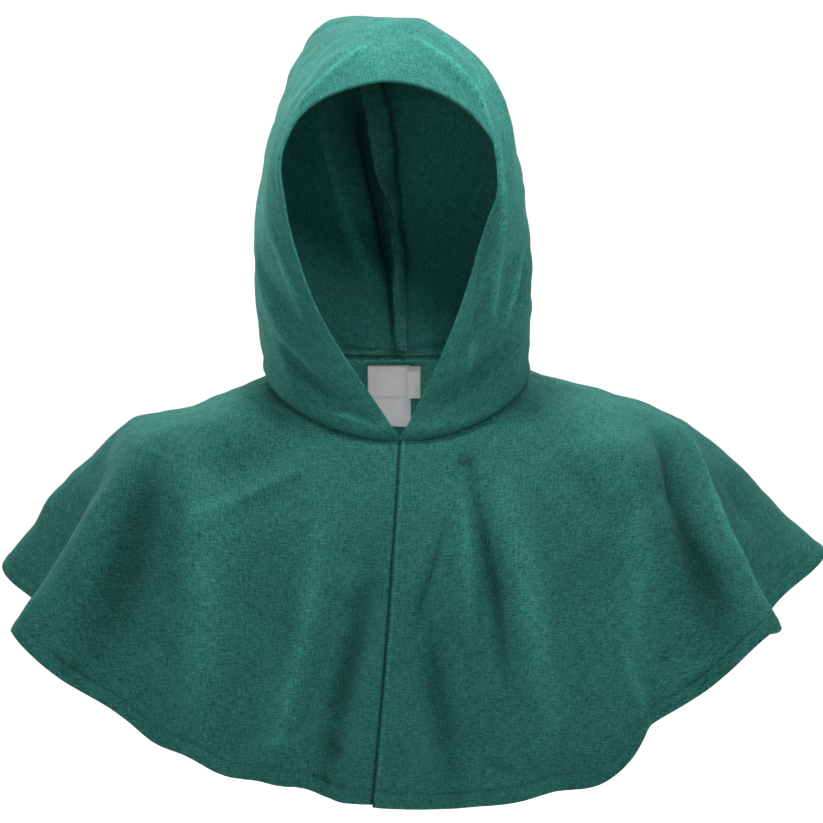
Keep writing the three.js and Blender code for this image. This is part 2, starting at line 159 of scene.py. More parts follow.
def crowded(steps: int, at_start: float, at_end: float) -> np.ndarray:
    """Spread places from nothing to one, closer together at the ends.

    Args:
        steps: number of steps.
        at_start: size of the first steps, as a share of an even step.
        at_end: size of the last steps in the same way.

    Returns:
        The places.
    """
    t = (np.arange(steps) + 0.5) / steps
    near = np.minimum(1.0, at_start + (1 - at_start) * smooth(t * 6)) * np.minimum(
        1.0, at_end + (1 - at_end) * smooth((1 - t) * 6)
    )
    run = np.concatenate([[0.0], np.cumsum(near)])
    return run / run[-1]


@dataclass(frozen=True)
class Crumple:
    """A field of soft random wrinkles on flat cloth: its rough wavelength, cell and extent in millimetres."""

    seed: int
    wave: float
    cell: float = 2.0
    extent: float = 1100.0

    def grid(self) -> np.ndarray:
        """Make the field on an even grid, with a mean of nothing and a deviation of one.

        Returns:
            The height at each cell.
        """
        count = int(self.extent / self.cell)
        rng = np.random.default_rng(self.seed)
        waves = np.fft.rfft2(rng.standard_normal((count, count)))
        fy = np.fft.fftfreq(count, self.cell)[:, None] * self.wave
        fx = np.fft.rfftfreq(count, self.cell)[None, :] * self.wave
        radius = np.sqrt(fx * fx + fy * fy)
        grid = np.fft.irfft2(waves * np.exp(-((radius - 1.0) ** 2) / 0.18), s=(count, count))
        return grid / grid.std()

    def at(self, across: np.ndarray, down: np.ndarray) -> np.ndarray:
        """Read the field at places of the flat cloth.

        Args:
            across: places along the cloth's width, in millimetres.
            down: places along its length.

        Returns:
            The height of the wrinkles there, in deviations.
        """
        grid = self.grid()
        count = grid.shape[0]
        x = np.mod(across / self.cell, count)
        y = np.mod(down / self.cell, count)
        i, j = np.floor(y).astype(int), np.floor(x).astype(int)
        fy, fx = smooth(y - i), smooth(x - j)
        i, j, i2, j2 = i % count, j % count, (i + 1) % count, (j + 1) % count
        return mix(mix(grid[i, j], grid[i, j2], fx), mix(grid[i2, j], grid[i2, j2], fx), fy)


def crumpled(
    layers: Sequence[tuple[float, float]], seed: int, across: np.ndarray, down: np.ndarray
) -> np.ndarray:
    """Lay wrinkles of several sizes over each other.

    Args:
        layers: strength and wavelength of each size of wrinkle, in millimetres.
        seed: seed of the first layer. Each further layer takes the next.
        across: places along the cloth's width.
        down: places along its length.

    Returns:
        The height of the wrinkles there.
    """
    return sum(amount * Crumple(seed + k, wave).at(across, down) for k, (amount, wave) in enumerate(layers))


# ---- Sheets of cloth ----


@dataclass
class Sheet:
    """One sheet of cloth as a grid of points, with its places on the flat cut (all in millimetres)."""

    points: np.ndarray
    flat: np.ndarray
    zipped: bool = False
    flip: bool = False

    def normals(self) -> np.ndarray:
        """Work out the normals of the outer side, shared where a zipped sheet's last row is sewn up.

        Returns:
            A unit vector for each point.
        """
        down = np.empty_like(self.points)
        down[1:-1] = self.points[2:] - self.points[:-2]
        down[0] = self.points[1] - self.points[0]
        down[-1] = self.points[-1] - self.points[-2]
        across = np.empty_like(self.points)
        across[:, 1:-1] = self.points[:, 2:] - self.points[:, :-2]
        across[:, 0] = self.points[:, 1] - self.points[:, 0]
        across[:, -1] = self.points[:, -1] - self.points[:, -2]
        normals = unit(np.cross(across, down)) * (-1.0 if self.flip else 1.0)
        if self.zipped:
            seam = normals[-1] + normals[-1, ::-1]
            crown = seam.shape[0] // 2
            shut = np.linalg.norm(seam, axis=-1) < 0.2
            shut[crown] = True
            seam[shut] = normals[-2, crown] + np.array([0.0, 1.0, 0.0])
            normals[-1] = unit(seam)
        return normals

    def pushed(self, height: np.ndarray) -> Sheet:
        """Move the sheet out along its normals.

        Args:
            height: how far each point moves, in millimetres.

        Returns:
            The moved sheet.
        """
        moved = self.points + self.normals() * height[..., None]
        return Sheet(moved, self.flat, self.zipped, self.flip)

    def at(self, rows: np.ndarray, cols: np.ndarray) -> tuple[np.ndarray, np.ndarray]:
        """Find points of the sheet between its grid lines.

        Args:
            rows: places along the columns, counted in rows.
            cols: places along the rows, counted in columns.

        Returns:
            The points, and the unit normals there.
        """
        rows, cols = np.broadcast_arrays(np.asarray(rows, float), np.asarray(cols, float))
        i = np.clip(np.floor(rows).astype(int), 0, self.points.shape[0] - 2)
        j = np.clip(np.floor(cols).astype(int), 0, self.points.shape[1] - 2)
        down, across = (rows - i)[..., None], (cols - j)[..., None]
        points, normals = (
            mix(mix(g[i, j], g[i, j + 1], across), mix(g[i + 1, j], g[i + 1, j + 1], across), down)
            for g in (self.points, self.normals())
        )
        return points, unit(normals)


def quads(index: np.ndarray) -> np.ndarray:
    """List the corners of every cell in a grid of point numbers."""
    corners = [index[:-1, :-1], index[:-1, 1:], index[1:, 1:], index[1:, :-1]]
    return np.stack(corners, axis=-1).reshape(-1, 4)


@dataclass(frozen=True)
class MeshData:
    """Points in millimetres, faces, the flat place of each face corner, and each point's painted shade or
    highlight.
    """

    points: np.ndarray
    faces: np.ndarray
    corners: np.ndarray
    painted_shading: np.ndarray | None = None

    def turned_out(self) -> MeshData:
        """Make the faces look outwards, where they all look inwards."""
        a, b, c, d = (self.points[self.faces[:, k]] for k in range(4))
        volume = np.einsum("ij,ij->", a, np.cross(b, c)) + np.einsum("ij,ij->", a, np.cross(c, d))
        if volume >= 0:
            return self
        corners = self.corners.reshape(-1, 4, 2)[:, ::-1].reshape(-1, 2)
        return MeshData(self.points, self.faces[:, ::-1], corners, self.painted_shading)


def rounded_solid(sheet: Sheet, wall: np.ndarray, painted_shading: np.ndarray | None = None) -> MeshData:
    """Give a sheet its thickness, with a rounded fold along its first row.

    Args:
        sheet: the cloth's outer side.
        wall: the thickness at each point, in millimetres.
        painted_shading: each point's painted shade, below nothing in a valley, or painted highlight, above
            nothing on a crest. The inner side takes the opposite.

    Returns:
        A closed mesh.
    """
    points, normals = sheet.points, sheet.normals()
    width = points.shape[1]
    inner = points - normals * wall[..., None]
    edge_out = unit(points[0] - points[1])
    half = wall[0][:, None] / 2
    turns = []
    for k in range(1, TURN_STEPS):
        angle = math.pi * k / TURN_STEPS
        way = normals[0] * math.cos(angle) + edge_out * math.sin(angle)
        turns.append(points[0] - normals[0] * half + way * half)
    loop = np.concatenate([points[::-1], np.array(turns), inner])
    flat = np.concatenate([sheet.flat[::-1], np.repeat(sheet.flat[:1], len(turns), axis=0), sheet.flat])
    count = loop.shape[0]
    index = np.arange(count * width).reshape(count, width)
    if sheet.zipped:
        for row in (0, count - 1):
            index[row] = np.minimum(index[row], index[row][::-1])
    place = np.arange(count * width).reshape(count, width)
    faces, spots = [quads(index)], [quads(place)]
    i = np.arange((count - 1) // 2)
    turned = count - 1 - i
    for col in (0, width - 1):
        for grid, found in ((index, faces), (place, spots)):
            cells = [grid[i, col], grid[i + 1, col], grid[turned - 1, col], grid[turned, col]]
            caps = np.stack(cells, axis=-1)
            found.append(caps[:, ::-1] if col else caps)
    if not sheet.zipped:
        for grid, found in ((index, faces), (place, spots)):
            found.append(np.stack([grid[-1, :-1], grid[-1, 1:], grid[0, 1:], grid[0, :-1]], axis=-1))
    corners = flat.reshape(-1, 2)[np.concatenate(spots).reshape(-1)]
    if painted_shading is not None:
        painted_shading = np.concatenate([painted_shading[::-1], np.repeat(painted_shading[:1], len(turns), axis=0), -painted_shading]).reshape(-1)
    return MeshData(loop.reshape(-1, 3), np.concatenate(faces), corners, painted_shading)


def tube(path: np.ndarray, radius: float, sides: int) -> MeshData:
    """Draw a thread round a line, narrower at both ends.

    Args:
        path: the points of its middle line.
        radius: its radius.
        sides: faces round it.

    Returns:
        A closed mesh.
    """
    way = unit(np.gradient(path, axis=0))
    side = np.zeros_like(path)
    guide = np.array([0.31, 0.47, 0.82])
    for k, direction in enumerate(way):
        flat_guide = guide - direction * direction.dot(guide)
        side[k] = flat_guide / np.linalg.norm(flat_guide)
        guide = side[k]
    up = np.cross(way, side)
    size = np.full(len(path), radius)
    size[[0, -1]] *= THREAD_TIP
    angle = np.arange(sides) * 2 * math.pi / sides
    ring = np.cos(angle)[None, :, None] * side[:, None] + np.sin(angle)[None, :, None] * up[:, None]
    points = (path[:, None] + ring * size[:, None, None]).reshape(-1, 3)
    index = np.arange(len(points)).reshape(len(path), sides)
    nxt = np.roll(index, -1, axis=1)
    faces = np.stack([index[:-1], nxt[:-1], nxt[1:], index[1:]], axis=-1).reshape(-1, 4)
    run = run_lengths(path)
    flat = np.stack(np.broadcast_arrays(angle[None, :] * np.mean(size), run[:, None]), axis=-1).reshape(-1, 2)
    for row, order in ((0, -1), (len(path) - 1, 1)):
        middle = np.full(sides, len(points))
        ring_index = index[row][::order]
        caps = np.stack([ring_index, np.roll(ring_index, -1), middle, middle], axis=-1)
        points = np.concatenate([points, path[row][None]])
        flat = np.concatenate([flat, [[0.0, run[row]]]])
        faces = np.concatenate([faces, caps])
    return MeshData(points, faces, flat[faces.reshape(-1)])


def joined(parts: Sequence[MeshData]) -> MeshData:
    """Put several meshes into one.

    Args:
        parts: the meshes, none of them with painted shade or highlight.

    Returns:
        The one mesh.
    """
    starts = np.cumsum([0] + [len(part.points) for part in parts[:-1]])
    return MeshData(
        np.concatenate([part.points for part in parts]),
        np.concatenate([part.faces + start for part, start in zip(parts, starts)]),
        np.concatenate([part.corners for part in parts]),
    )


def make_object(name: str, data: MeshData, seat: float, material: bpy.types.Material) -> bpy.types.Object:
    """Turn a mesh into a smooth Blender object, in metres under the crown.

    Args:
        name: the piece's name.
        data: its mesh, in millimetres above the throat.
        seat: height of the crown's seat above the throat.
        material: its finish.

    Returns:
        The new object.
    """
    data = data.turned_out()
    kept = data.faces != np.roll(data.faces, -1, axis=1)
    whole = kept.sum(axis=1) >= 3
    kept &= whole[:, None]
    used, loops = np.unique(data.faces[kept], return_inverse=True)
    sizes = kept.sum(axis=1)[whole]
    starts = np.concatenate([[0], np.cumsum(sizes)])
    flat_loops = loops.tolist()
    polygons = [flat_loops[a:b] for a, b in zip(starts[:-1], starts[1:])]
    places = (data.points[used] - np.array([0.0, 0.0, seat])) * METRES
    mesh = bpy.data.meshes.new(name)
    mesh.from_pydata(places.tolist(), [], polygons)
    corners = data.corners.reshape(-1, 4, 2)[kept]
    mesh.uv_layers.new(name="cut").data.foreach_set("uv", (corners * METRES).astype(np.float32).reshape(-1))
    # Painted shading on each point: painted shade in valleys and seam grooves, painted highlight on crests.
    if data.painted_shading is not None:
        painted_shading = mesh.attributes.new("painted_shading", "FLOAT", "POINT")
        painted_shading.data.foreach_set("value", data.painted_shading[used].astype(np.float32))
    mesh.polygons.foreach_set("use_smooth", np.ones(len(mesh.polygons), bool))
    mesh.materials.append(material)
    mesh.validate()
    piece = bpy.data.objects.new(name, mesh)
    bpy.context.scene.collection.objects.link(piece)
    return piece


# ---- Shape of the cloth, from the frame's tables, with narrow creases and a few hems cut shorter ----


@dataclass(frozen=True)
class Hoop:
    """A hoop of the hood from the face opening (0) to the back seam (1). Shares of the hood's three sizes."""

    at: float
    turn: float
    half: float
    mid: float
    mid_y: float
    top: float
    top_y: float
    round: float
    lean: float


@dataclass(frozen=True)
class Fold:
    """A fold of the hood, from one hoop and height share to another. A negative depth is a dent."""

    side: int
    hoop: float
    up: float
    to_hoop: float
    to_up: float
    width: float
    depth: float


@dataclass(frozen=True)
class Crease:
    """A crease set into the cloth along a line of places, with painted shade in its valley and painted
    highlight on its crest. A negative height is a valley.

    On the hood a place is the arc from the crown and the distance from the face opening. On the mantle it is
    the turn from the front seam, in degrees of half a round, and the distance from the neck seam. The crest is
    sharp at a power of one and round at two.
    """

    line: tuple[tuple[float, float], ...]
    width: float
    height: float
    power: float = 1.3

    def eased(self) -> np.ndarray:
        """Cut the line's corners until it bends softly."""
        line = np.array(self.line, float)
        for _ in range(3):
            if len(line) > 2:
                near, far = mix(line[:-1], line[1:], 0.25), mix(line[:-1], line[1:], 0.75)
                line = np.concatenate([line[:1], np.stack([near, far], axis=1).reshape(-1, 2), line[-1:]])
        return line

    def rise(self, line: np.ndarray, across: np.ndarray, down: np.ndarray) -> np.ndarray:
        """Work out the crease's shape over flat cloth.

        Args:
            line: the crease's line on the cloth.
            across: places of the cloth.
            down: places of the cloth in the other direction.

        Returns:
            The height at each place, and the painted shading: the height that an equally steep crease of the
            shading width set at the top has, which paints valleys darker as shade and crests lighter as
            highlight.
        """
        run = run_lengths(line)
        nearest, share = np.full(across.shape, np.inf), np.zeros(across.shape)
        for start, end, before, after in zip(line[:-1], line[1:], run[:-1], run[1:]):
            step = end - start
            x, y = across - start[0], down - start[1]
            part = clamp01((x * step[0] + y * step[1]) / max(step.dot(step), 1e-9))
            gap = np.hypot(x - part * step[0], y - part * step[1])
            share = np.where(gap < nearest, mix(before, after, part) / run[-1], share)
            nearest = np.minimum(nearest, gap)
        fade = np.sin(math.pi * mix(0.1, 0.9, share))
        height = self.height * np.exp(-((nearest / self.width) ** self.power)) * fade
        # The second row is the painted shading: painted shade in valleys, painted highlight on crests.
        return np.stack([height, height * SHADE_PAINT_WIDTH / self.width])


@dataclass(frozen=True)
class SeamLean:
    """How the back seam's raw edges stand: share down the seam, lean in degrees, width and bend."""

    at: float
    lean: float
    width: float
    bend: float


@dataclass(frozen=True)
class MantleSection:
    """A section of the mantle in one direction: slopes in degrees, bend and length as shares."""

    at: float
    upper: float
    lower: float
    bend: float
    length: float


@dataclass(frozen=True)
class Flute:
    """A flute of the mantle: direction, half width and lift in degrees, start and extra length as shares."""

    at: float
    half: float
    start: float
    lift: float
    longer: float


HOOPS = (
    Hoop(0.0, 0.0, 0.76, 0.64, -0.74, 0.828, -0.6, 1.95, -0.03),
    Hoop(0.12, 0.13, 0.875, 0.56, -0.58, 0.9, -0.4, 2.15, 0.0),
    Hoop(0.28, 0.31, 0.97, 0.42, -0.3, 0.965, -0.1, 2.3, 0.03),
    Hoop(0.46, 0.48, 1.0, 0.4, 0.08, 0.995, 0.26, 2.35, -0.02),
    Hoop(0.64, 0.64, 0.93, 0.43, 0.46, 1.0, 0.58, 2.3, -0.14),
    Hoop(0.8, 0.8, 0.7, 0.48, 0.76, 1.005, 0.8, 2.2, -0.34),
    Hoop(0.92, 0.92, 0.36, 0.52, 0.94, 1.0, 0.94, 2.0, -0.46),
    Hoop(1.0, 1.0, 0.0, 0.55, 1.0, 0.985, 1.0, 2.0, -0.52),
)

FOLDS = (
    Fold(1, -0.02, 0.56, 0.34, 0.8, 0.055, 0.05),
    Fold(1, 0.12, 0.87, 0.02, 0.7, 0.03, 0.02),
    Fold(1, 0.04, 0.46, 0.2, 0.14, 0.05, -0.055),
    Fold(1, 0.19, 0.44, 0.31, 0.18, 0.045, 0.035),
    Fold(1, 0.42, 0.4, 0.38, 0.12, 0.07, -0.05),
    Fold(-1, 0.22, 0.96, 0.03, 0.8, 0.05, 0.03),
    Fold(-1, 0.26, 0.4, 0.15, 0.18, 0.05, 0.04),
    Fold(-1, 0.09, 0.42, 0.16, 0.1, 0.05, -0.03),
    Fold(-1, 0.88, 0.88, 0.94, 0.28, 0.04, -0.08),
    Fold(1, 0.9, 0.84, 0.94, 0.5, 0.05, -0.04),
)

HOOD_CREASES = (
    Crease(((-16, 48.5), (-42, 23), (-67, 12.8), (-80, 9)), 4, 4.5),
    Crease(((13, 59), (36, 43), (65, 28), (82, 21), (94, 9.4), (110, 1)), 4, 5.0),
    Crease(((38, 83), (57, 54.5), (73, 40)), 5, 3.0),
    Crease(((70, 60), (80.5, 46.6), (88, 31)), 3, 2.2),
    Crease(((77, 74.5), (85.5, 57), (93.5, 41)), 3, 2.2),
    Crease(((61, 90), (72, 68)), 3.2, 1.8),
    Crease(((116, 6), (130, 3), (153, 4), (184, 15), (205, 18.7), (240, 29), (265, 36.6), (286, 46)), 4, 6.5),
    Crease(((150, -4), (184, 3), (230, 8), (262, 14)), 6, -3.0, 2.0),
    Crease(((236, 57.4), (252, 55.6), (275, 60.7), (301, 62)), 4.5, 6.2),
    Crease(((228, 70), (256, 70), (292, 73)), 9, -5.0, 2.0),
    Crease(((-209, 22.7), (-240, 19.2), (-258, 19.4)), 3.4, 4.5),
    Crease(((-129, 31), (-161.6, 18)), 4, 2.6),
    Crease(((-112, 2), (-148.6, 3)), 3, 2.0),
    Crease(((276, 17.5), (316, 33), (342, 37)), 3, 2.6),
    Crease(((253, 9.6), (259.5, 23)), 3, 1.8),
    Crease(((-370.5, 49.6), (-367.7, 35.6), (-366.4, 22.6)), 3, 2.8),
    Crease(((-284, 61), (-297, 63)), 3, 1.8),
    Crease(((-90, 226), (-128, 246), (-164, 267), (-195, 285), (-223, 303)), 6, -9.0),
    Crease(
        ((-69, 257), (-102, 277), (-144, 295), (-162, 303), (-192, 313), (-225, 322), (-257, 317)),
        6,
        12.0,
        1.6,
    ),
    Crease(((70, 112), (112, 127), (156, 129), (200, 128)), 38, -10.0, 2.0),
    Crease(((-24, 206), (-52, 186), (-92, 156)), 28, 5.5, 2.0),
    Crease(((270, 120), (310, 150), (350, 156)), 30, 2.0, 2.0),
    Crease(((317, 84), (335, 51), (336, 12)), 14, -9.0, 2.0),
    Crease(((244, 23), (272, 23), (299, 17)), 7, -4.0, 2.0),
    Crease(((-312, 72), (-339, 67), (-352, 30)), 14, -7.0, 2.0),
)

SEAM_LEANS = (
    SeamLean(0.0, -14, 16, 6),
    SeamLean(0.2, -20, 24, 12),
    SeamLean(0.33, -27, 26, 12),
    SeamLean(0.41, -31, 26, 9),
    SeamLean(0.49, -27, 24, 5),
    SeamLean(0.58, -12, 17, 2),
    SeamLean(0.64, -24, 19, 5),
    SeamLean(0.74, -13, 15, 5),
    SeamLean(0.84, -17, 14, 6),
    SeamLean(1.0, -4, 12, 5),
)

LEFT_MANTLE_CREASES = (
    Crease(((45.5, 18), (51.3, 68), (54.9, 112)), 18, -9.0, 2.0),
    Crease(((104, 20), (102, 72), (100, 128)), 60, -9.0, 2.0),
    Crease(((101, 140), (105, 195), (106, 270)), 36, 11.0, 2.0),
    Crease(((65.5, 115), (62.8, 146), (61.0, 175), (59.0, 210), (57.7, 260), (57.5, 290)), 19, -20.0, 1.8),
    Crease(((58.5, 100), (50.6, 133), (45.2, 183), (41.6, 243), (40.9, 292)), 22, 13.0, 1.8),
    Crease(((67, 242), (63.9, 225), (60.8, 207)), 4, 1.0),
    Crease(((33.7, 38), (41.6, 76), (46.4, 100), (49.3, 121), (53.1, 144)), 5, 3.4),
    Crease(((32.0, 44), (38.5, 76), (44.5, 112)), 5, -2.6, 2.0),
    Crease(((54.6, 130), (56.2, 146)), 12, -3.0, 2.0),
    Crease(((23.9, 81), (21.6, 130), (21.6, 188), (25.5, 280)), 13, 11.0, 1.6),
    Crease(((5.9, 106), (9.0, 171), (11.5, 237), (12.7, 295)), 14, -12.0, 2.0),
    Crease(((30.6, 274), (19.8, 258), (10.1, 236), (0, 234)), 2.8, 1.0),
    Crease(((9.8, 258), (11.6, 268)), 9, -2.4, 2.0),
    Crease(((59, 310), (58.5, 286)), 8, -3.2, 2.0),
    Crease(((12.4, 300), (11.6, 276)), 7, -1.8, 2.0),
    Crease(((7.4, 300), (7.8, 278)), 6, -1.5, 2.0),
)

RIGHT_MANTLE_CREASES = (
    Crease(((102, 140), (104, 190), (106, 240)), 34, 6.0, 2.0),
    Crease(((28.8, 18), (26.3, 51), (26.3, 101), (28.8, 149), (30.1, 230)), 7, -8.0, 1.5),
    Crease(((34.0, 50), (34.5, 110), (36.5, 190), (38.5, 290)), 18, 13.0, 1.7),
    Crease(((22.1, 55), (21.6, 112), (21.6, 180)), 8, 6.0, 1.5),
    Crease(((11.0, 154), (14.0, 221), (18.0, 300)), 15, -10.5, 2.0),
    Crease(((16.7, 70), (12.1, 111), (8.3, 145), (7.2, 165)), 4.5, -3.4, 1.5),
    Crease(((52.4, 57), (53.1, 89), (54.9, 127), (56.7, 150)), 10, -5.5, 1.8),
    Crease(((60.8, 114), (64.6, 149), (62.6, 173)), 16, -3.5, 2.0),
    Crease(((54.6, 174), (55.2, 186)), 9, -2.6, 2.0),
    Crease(((64.0, 95), (58.6, 167), (56.3, 217), (55.0, 285)), 17, 11.0, 1.7),
    Crease(((79.5, 112), (73.1, 152), (68.8, 184), (65.6, 220), (64.3, 255), (63.0, 296)), 17, -22.0, 1.8),
    Crease(((90.0, 118), (84.5, 170), (76.0, 212), (72.4, 257), (71.0, 294)), 8, 9.0, 1.4),
    Crease(((93.6, 150), (92.3, 197), (91.8, 242), (91.3, 300)), 16, 2.5, 1.8),
    Crease(((51.8, 240), (52.4, 273), (53.6, 306)), 5, 3.0),
    Crease(((60.8, 293), (61.6, 312)), 7, -2.5, 2.0),
    Crease(((22.7, 274), (27.5, 285), (31.1, 298)), 4, -2.4),
    Crease(((30.6, 278), (32.4, 290), (34.9, 303)), 4, -2.4),
    Crease(((94.3, 200), (95.4, 227), (96.1, 256)), 6, -2.5, 1.6),
    Crease(((96.2, 280), (96.6, 296)), 6, -2.4, 2.0),
    Crease(((22.1, 27), (30.1, 30)), 4, -2.6),
    Crease(((0, 234), (8.8, 238)), 2.8, 0.9),
)

MANTLE_SECTIONS = (
    MantleSection(0, 60, 76, 0.3, 0.943),
    MantleSection(22, 57, 76, 0.3, 0.96),
    MantleSection(42, 43, 73, 0.3, 0.985),
    MantleSection(56, 28, 66, 0.34, 0.985),
    MantleSection(68, 19, 60, 0.4, 0.965),
    MantleSection(90, 15, 62, 0.42, 0.98),
    MantleSection(110, 17, 57, 0.42, 1.0),
    MantleSection(135, 32, 64, 0.36, 1.0),
    MantleSection(158, 46, 70, 0.3, 0.98),
    MantleSection(180, 50, 72, 0.3, 0.97),
)

FLUTES = (
    Flute(-165, 12, 0.3, 7, 0),
    Flute(-139, 12, 0.3, 8, 0),
    Flute(-110, 13, 0.36, 15, 0),
    Flute(-95, 7, 0.4, 0, -0.03),
    Flute(-92, 24, 0.0, -3, 0),
    Flute(-90, 9, 0.36, -9, 0),
    Flute(-69, 9, 0.36, 8, 0),
    Flute(-54, 7, 0.36, -4, -0.028),
    Flute(-40, 9, 0.4, 3, -0.03),
    Flute(-27, 6, 0.5, 0, -0.02),
    Flute(-17, 8, 0.5, -2, -0.03),
    Flute(16, 9, 0.4, -3, 0),
    Flute(30, 8, 0.5, 2, 0.01),
    Flute(44, 6, 0.5, 4, 0.03),
    Flute(54, 5, 0.4, -9, -0.02),
    Flute(65, 8, 0.36, 10, -0.03),
    Flute(84, 9, 0.36, -9, 0),
    Flute(95, 7, 0.4, 0, -0.035),
    Flute(105, 14, 0.32, 18, 0),
    Flute(138, 12, 0.3, 8, 0),
    Flute(165, 12, 0.3, 7, 0),
)


HOOD_WRINKLES = ((0.5, 78), (0.38, 36), (0.12, 17))
MANTLE_WRINKLES = ((0.75, 95), (0.42, 44), (0.12, 19))


@dataclass(frozen=True)
class NeckSeam:
    """The neck seam: an oval, low at the throat and high at the nape (millimetres)."""

    half_width: float = 108.0
    front_reach: float = 92.0
    back_reach: float = 80.0
    side_rise: float = 50.0
    back_rise: float = 62.0

    def point(self, angle: np.ndarray) -> np.ndarray:
        """Find points of the seam at angles from the throat, in radians."""
        reach = mix(self.front_reach, self.back_reach, (1 - np.cos(angle)) / 2)
        sway = (self.side_rise - self.back_rise / 2) / 2
        rise = self.back_rise / 2 * (1 - np.cos(angle)) + sway * (1 - np.cos(2 * angle))
        return np.stack([self.half_width * np.sin(angle), -reach * np.cos(angle), rise], axis=-1)


@dataclass(frozen=True)
class Sewing:
    """Cloth thickness and how the edges are turned and sewn (millimetres)."""

    wall: float = 1.4
    base_wall: float = 1.5
    gap: float = 0.3
    folded_wall: float = 3.1
    face_hem: float = 22.0
    mantle_hem: float = 13.0
    hem_stitch: float = 11.0
    neck_allowance: float = 9.0
    panel_allowance: float = 12.0
    stitch_pitch: float = 3.1
    stitch_length: float = 2.4
    thread_radius: float = 0.24

    @property
    def inside_layer(self) -> float:
        """Depth of the first layer inside, below the outer side."""
        return self.base_wall + self.gap


@dataclass
class HoodShape:
    """The hood's cloth over the head (millimetres)."""

    neck: NeckSeam = field(default_factory=NeckSeam)
    sewing: Sewing = field(default_factory=Sewing)
    crown_height: float = 356.0
    crown_half_width: float = 116.0
    back_reach: float = 126.0
    opening_skew: float = 9.0
    hoop_steps: int = 150
    arch_half_steps: int = 156
    rough_hoops: int = 220
    coarse_steps: int = 22

    def half_hoops(self, at: np.ndarray, side: int) -> np.ndarray:
        """Draw one half of many hoops, from the neck seam up to the fold over the crown.

        Args:
            at: places of the hoops between the face opening and the back seam.
            side: -1 for the left half, 1 for the right.

        Returns:
            For each hoop, its points at uneven distances.
        """
        value = {f.name: column(HOOPS, f.name, at)[:, None] for f in fields(Hoop) if f.name != "at"}
        start = self.neck.point(side * math.pi * value["turn"])
        half, mid = self.crown_half_width * value["half"], self.crown_height * value["mid"]
        mid_y, top_y = self.back_reach * value["mid_y"], self.back_reach * value["top_y"]
        top, power = self.crown_height * value["top"], 2 / value["round"]
        lean = self.crown_half_width * value["lean"]
        to_ears = mix(1, 0.6, smooth(at * 4))
        skew = (self.opening_skew * np.where(at < 0.5, to_ears, mix(to_ears, 0, smooth(at * 2 - 1))))[:, None]
        parts = SECTION_STEPS
        k = np.arange(2 * parts + 1)[None, :]
        low = np.minimum(1, k / parts)
        high = np.maximum(0, k / parts - 1) * (math.pi / 2)
        rise = np.sin(high) ** power
        below = k <= parts
        arch = np.maximum(np.cos(high), 0) ** power
        x = np.where(below, mix(np.abs(start[..., 0]), half, np.sin(low * math.pi / 2)), half * arch)
        z = np.where(below, mix(start[..., 2], mid, low), mix(mid, top, rise))
        y = np.where(below, mix(start[..., 1], mid_y, smooth(low)), mix(mid_y, top_y, rise))
        share = z / self.crown_height
        return np.stack([side * x - skew * smooth(share * 3) + lean * share**5, y, z], axis=-1)

    def fold_height(self, side: int, at: np.ndarray, up: np.ndarray) -> np.ndarray:
        """Work out how far the folds push one half of the hood out.

        Args:
            side: -1 for the left half, 1 for the right.
            at: hoop of each point.
            up: share of the arch from the neck to the crown.

        Returns:
            The push in millimetres.
        """
        height = np.zeros_like(up)
        for fold in FOLDS:
            if fold.side != side:
                continue
            run = np.array([fold.to_hoop - fold.hoop, fold.to_up - fold.up])
            off = np.stack([at - fold.hoop, up - fold.up], axis=-1)
            share = clamp01(off @ run / run.dot(run))
            gap = np.linalg.norm(off - share[..., None] * run, axis=-1) / fold.width
            swell = np.sin(math.pi * mix(0.12, 0.88, share))
            height += fold.depth * self.crown_half_width * np.exp(-gap * gap) * swell
        return height * smooth(np.minimum(1 - up, up) * 12)

    def build(self) -> None:
        """Work out the hood's outer side and the distances on its cloth that the details follow."""
        at = np.linspace(0, 1, self.rough_hoops + 1)
        halves, ups, arcs = [], [], []
        steps = crowded(self.arch_half_steps, 0.3, 1.0)
        for side in (-1, 1):
            lines = self.half_hoops(at, side)
            run = run_lengths(lines)
            places = steps[None, :] * run[:, -1:]
            halves.append(np.stack([along(line, place) for line, place in zip(lines, places)]))
            edge = self.sewing.neck_allowance
            even = (places - edge) / (run[:, -1:] - edge) * (self.coarse_steps - 1)
            ups.append(np.where(places < edge, places / edge, 1 + even) / self.coarse_steps)
            arcs.append(places - run[:, -1:])
        points = np.concatenate([halves[0], halves[1][:, -2::-1]], axis=1)
        up = np.concatenate([ups[0], ups[1][:, -2::-1]], axis=1)
        arc = np.concatenate([arcs[0], -arcs[1][:, -2::-1]], axis=1)
        crown = self.arch_half_steps
        place = np.repeat(at[:, None], points.shape[1], axis=1)
        height = self.fold_height(-1, place, up)
        height[:, crown + 1 :] = self.fold_height(1, place, up)[:, crown + 1 :]
        rough = Sheet(points, np.zeros(points.shape[:2] + (2,)), zipped=True).pushed(height).points
        grid = np.concatenate([rough, arc[..., None]], axis=-1)
        run = run_lengths(rough.transpose(1, 0, 2)).T
        want = crowded(self.hoop_steps, 0.45, 0.45)[:, None] * run[-1][None, :]
        fine = np.empty(want.shape + (grid.shape[-1],))
        for j in range(want.shape[1]):
            for k in range(grid.shape[-1]):
                fine[:, j, k] = np.interp(want[:, j], run[:, j], grid[:, j, k])
        self.from_opening = want
        self.from_back = run[-1][None, :] - want
        self.arc = fine[..., 3]
        left, right = run_lengths(fine[:, : crown + 1, :3]), run_lengths(fine[:, :crown:-1, :3])
        self.from_neck = np.concatenate([left, right[:, ::-1]], axis=1)
        flat = np.stack([self.arc, self.from_opening], axis=-1)
        self.sheet = Sheet(fine[..., :3], flat, zipped=True)

    @property
    def seat(self) -> float:
        """Height at which the crown of the head carries the hood, straight above the middle of the neck."""
        crown = self.crown_line()
        return float(np.interp(0.0, crown[:, 1], crown[:, 2])) - self.sewing.base_wall

    def crown_line(self) -> np.ndarray:
        """Take the line over the crown from the face opening to the back."""
        return self.sheet.points[:, self.arch_half_steps]


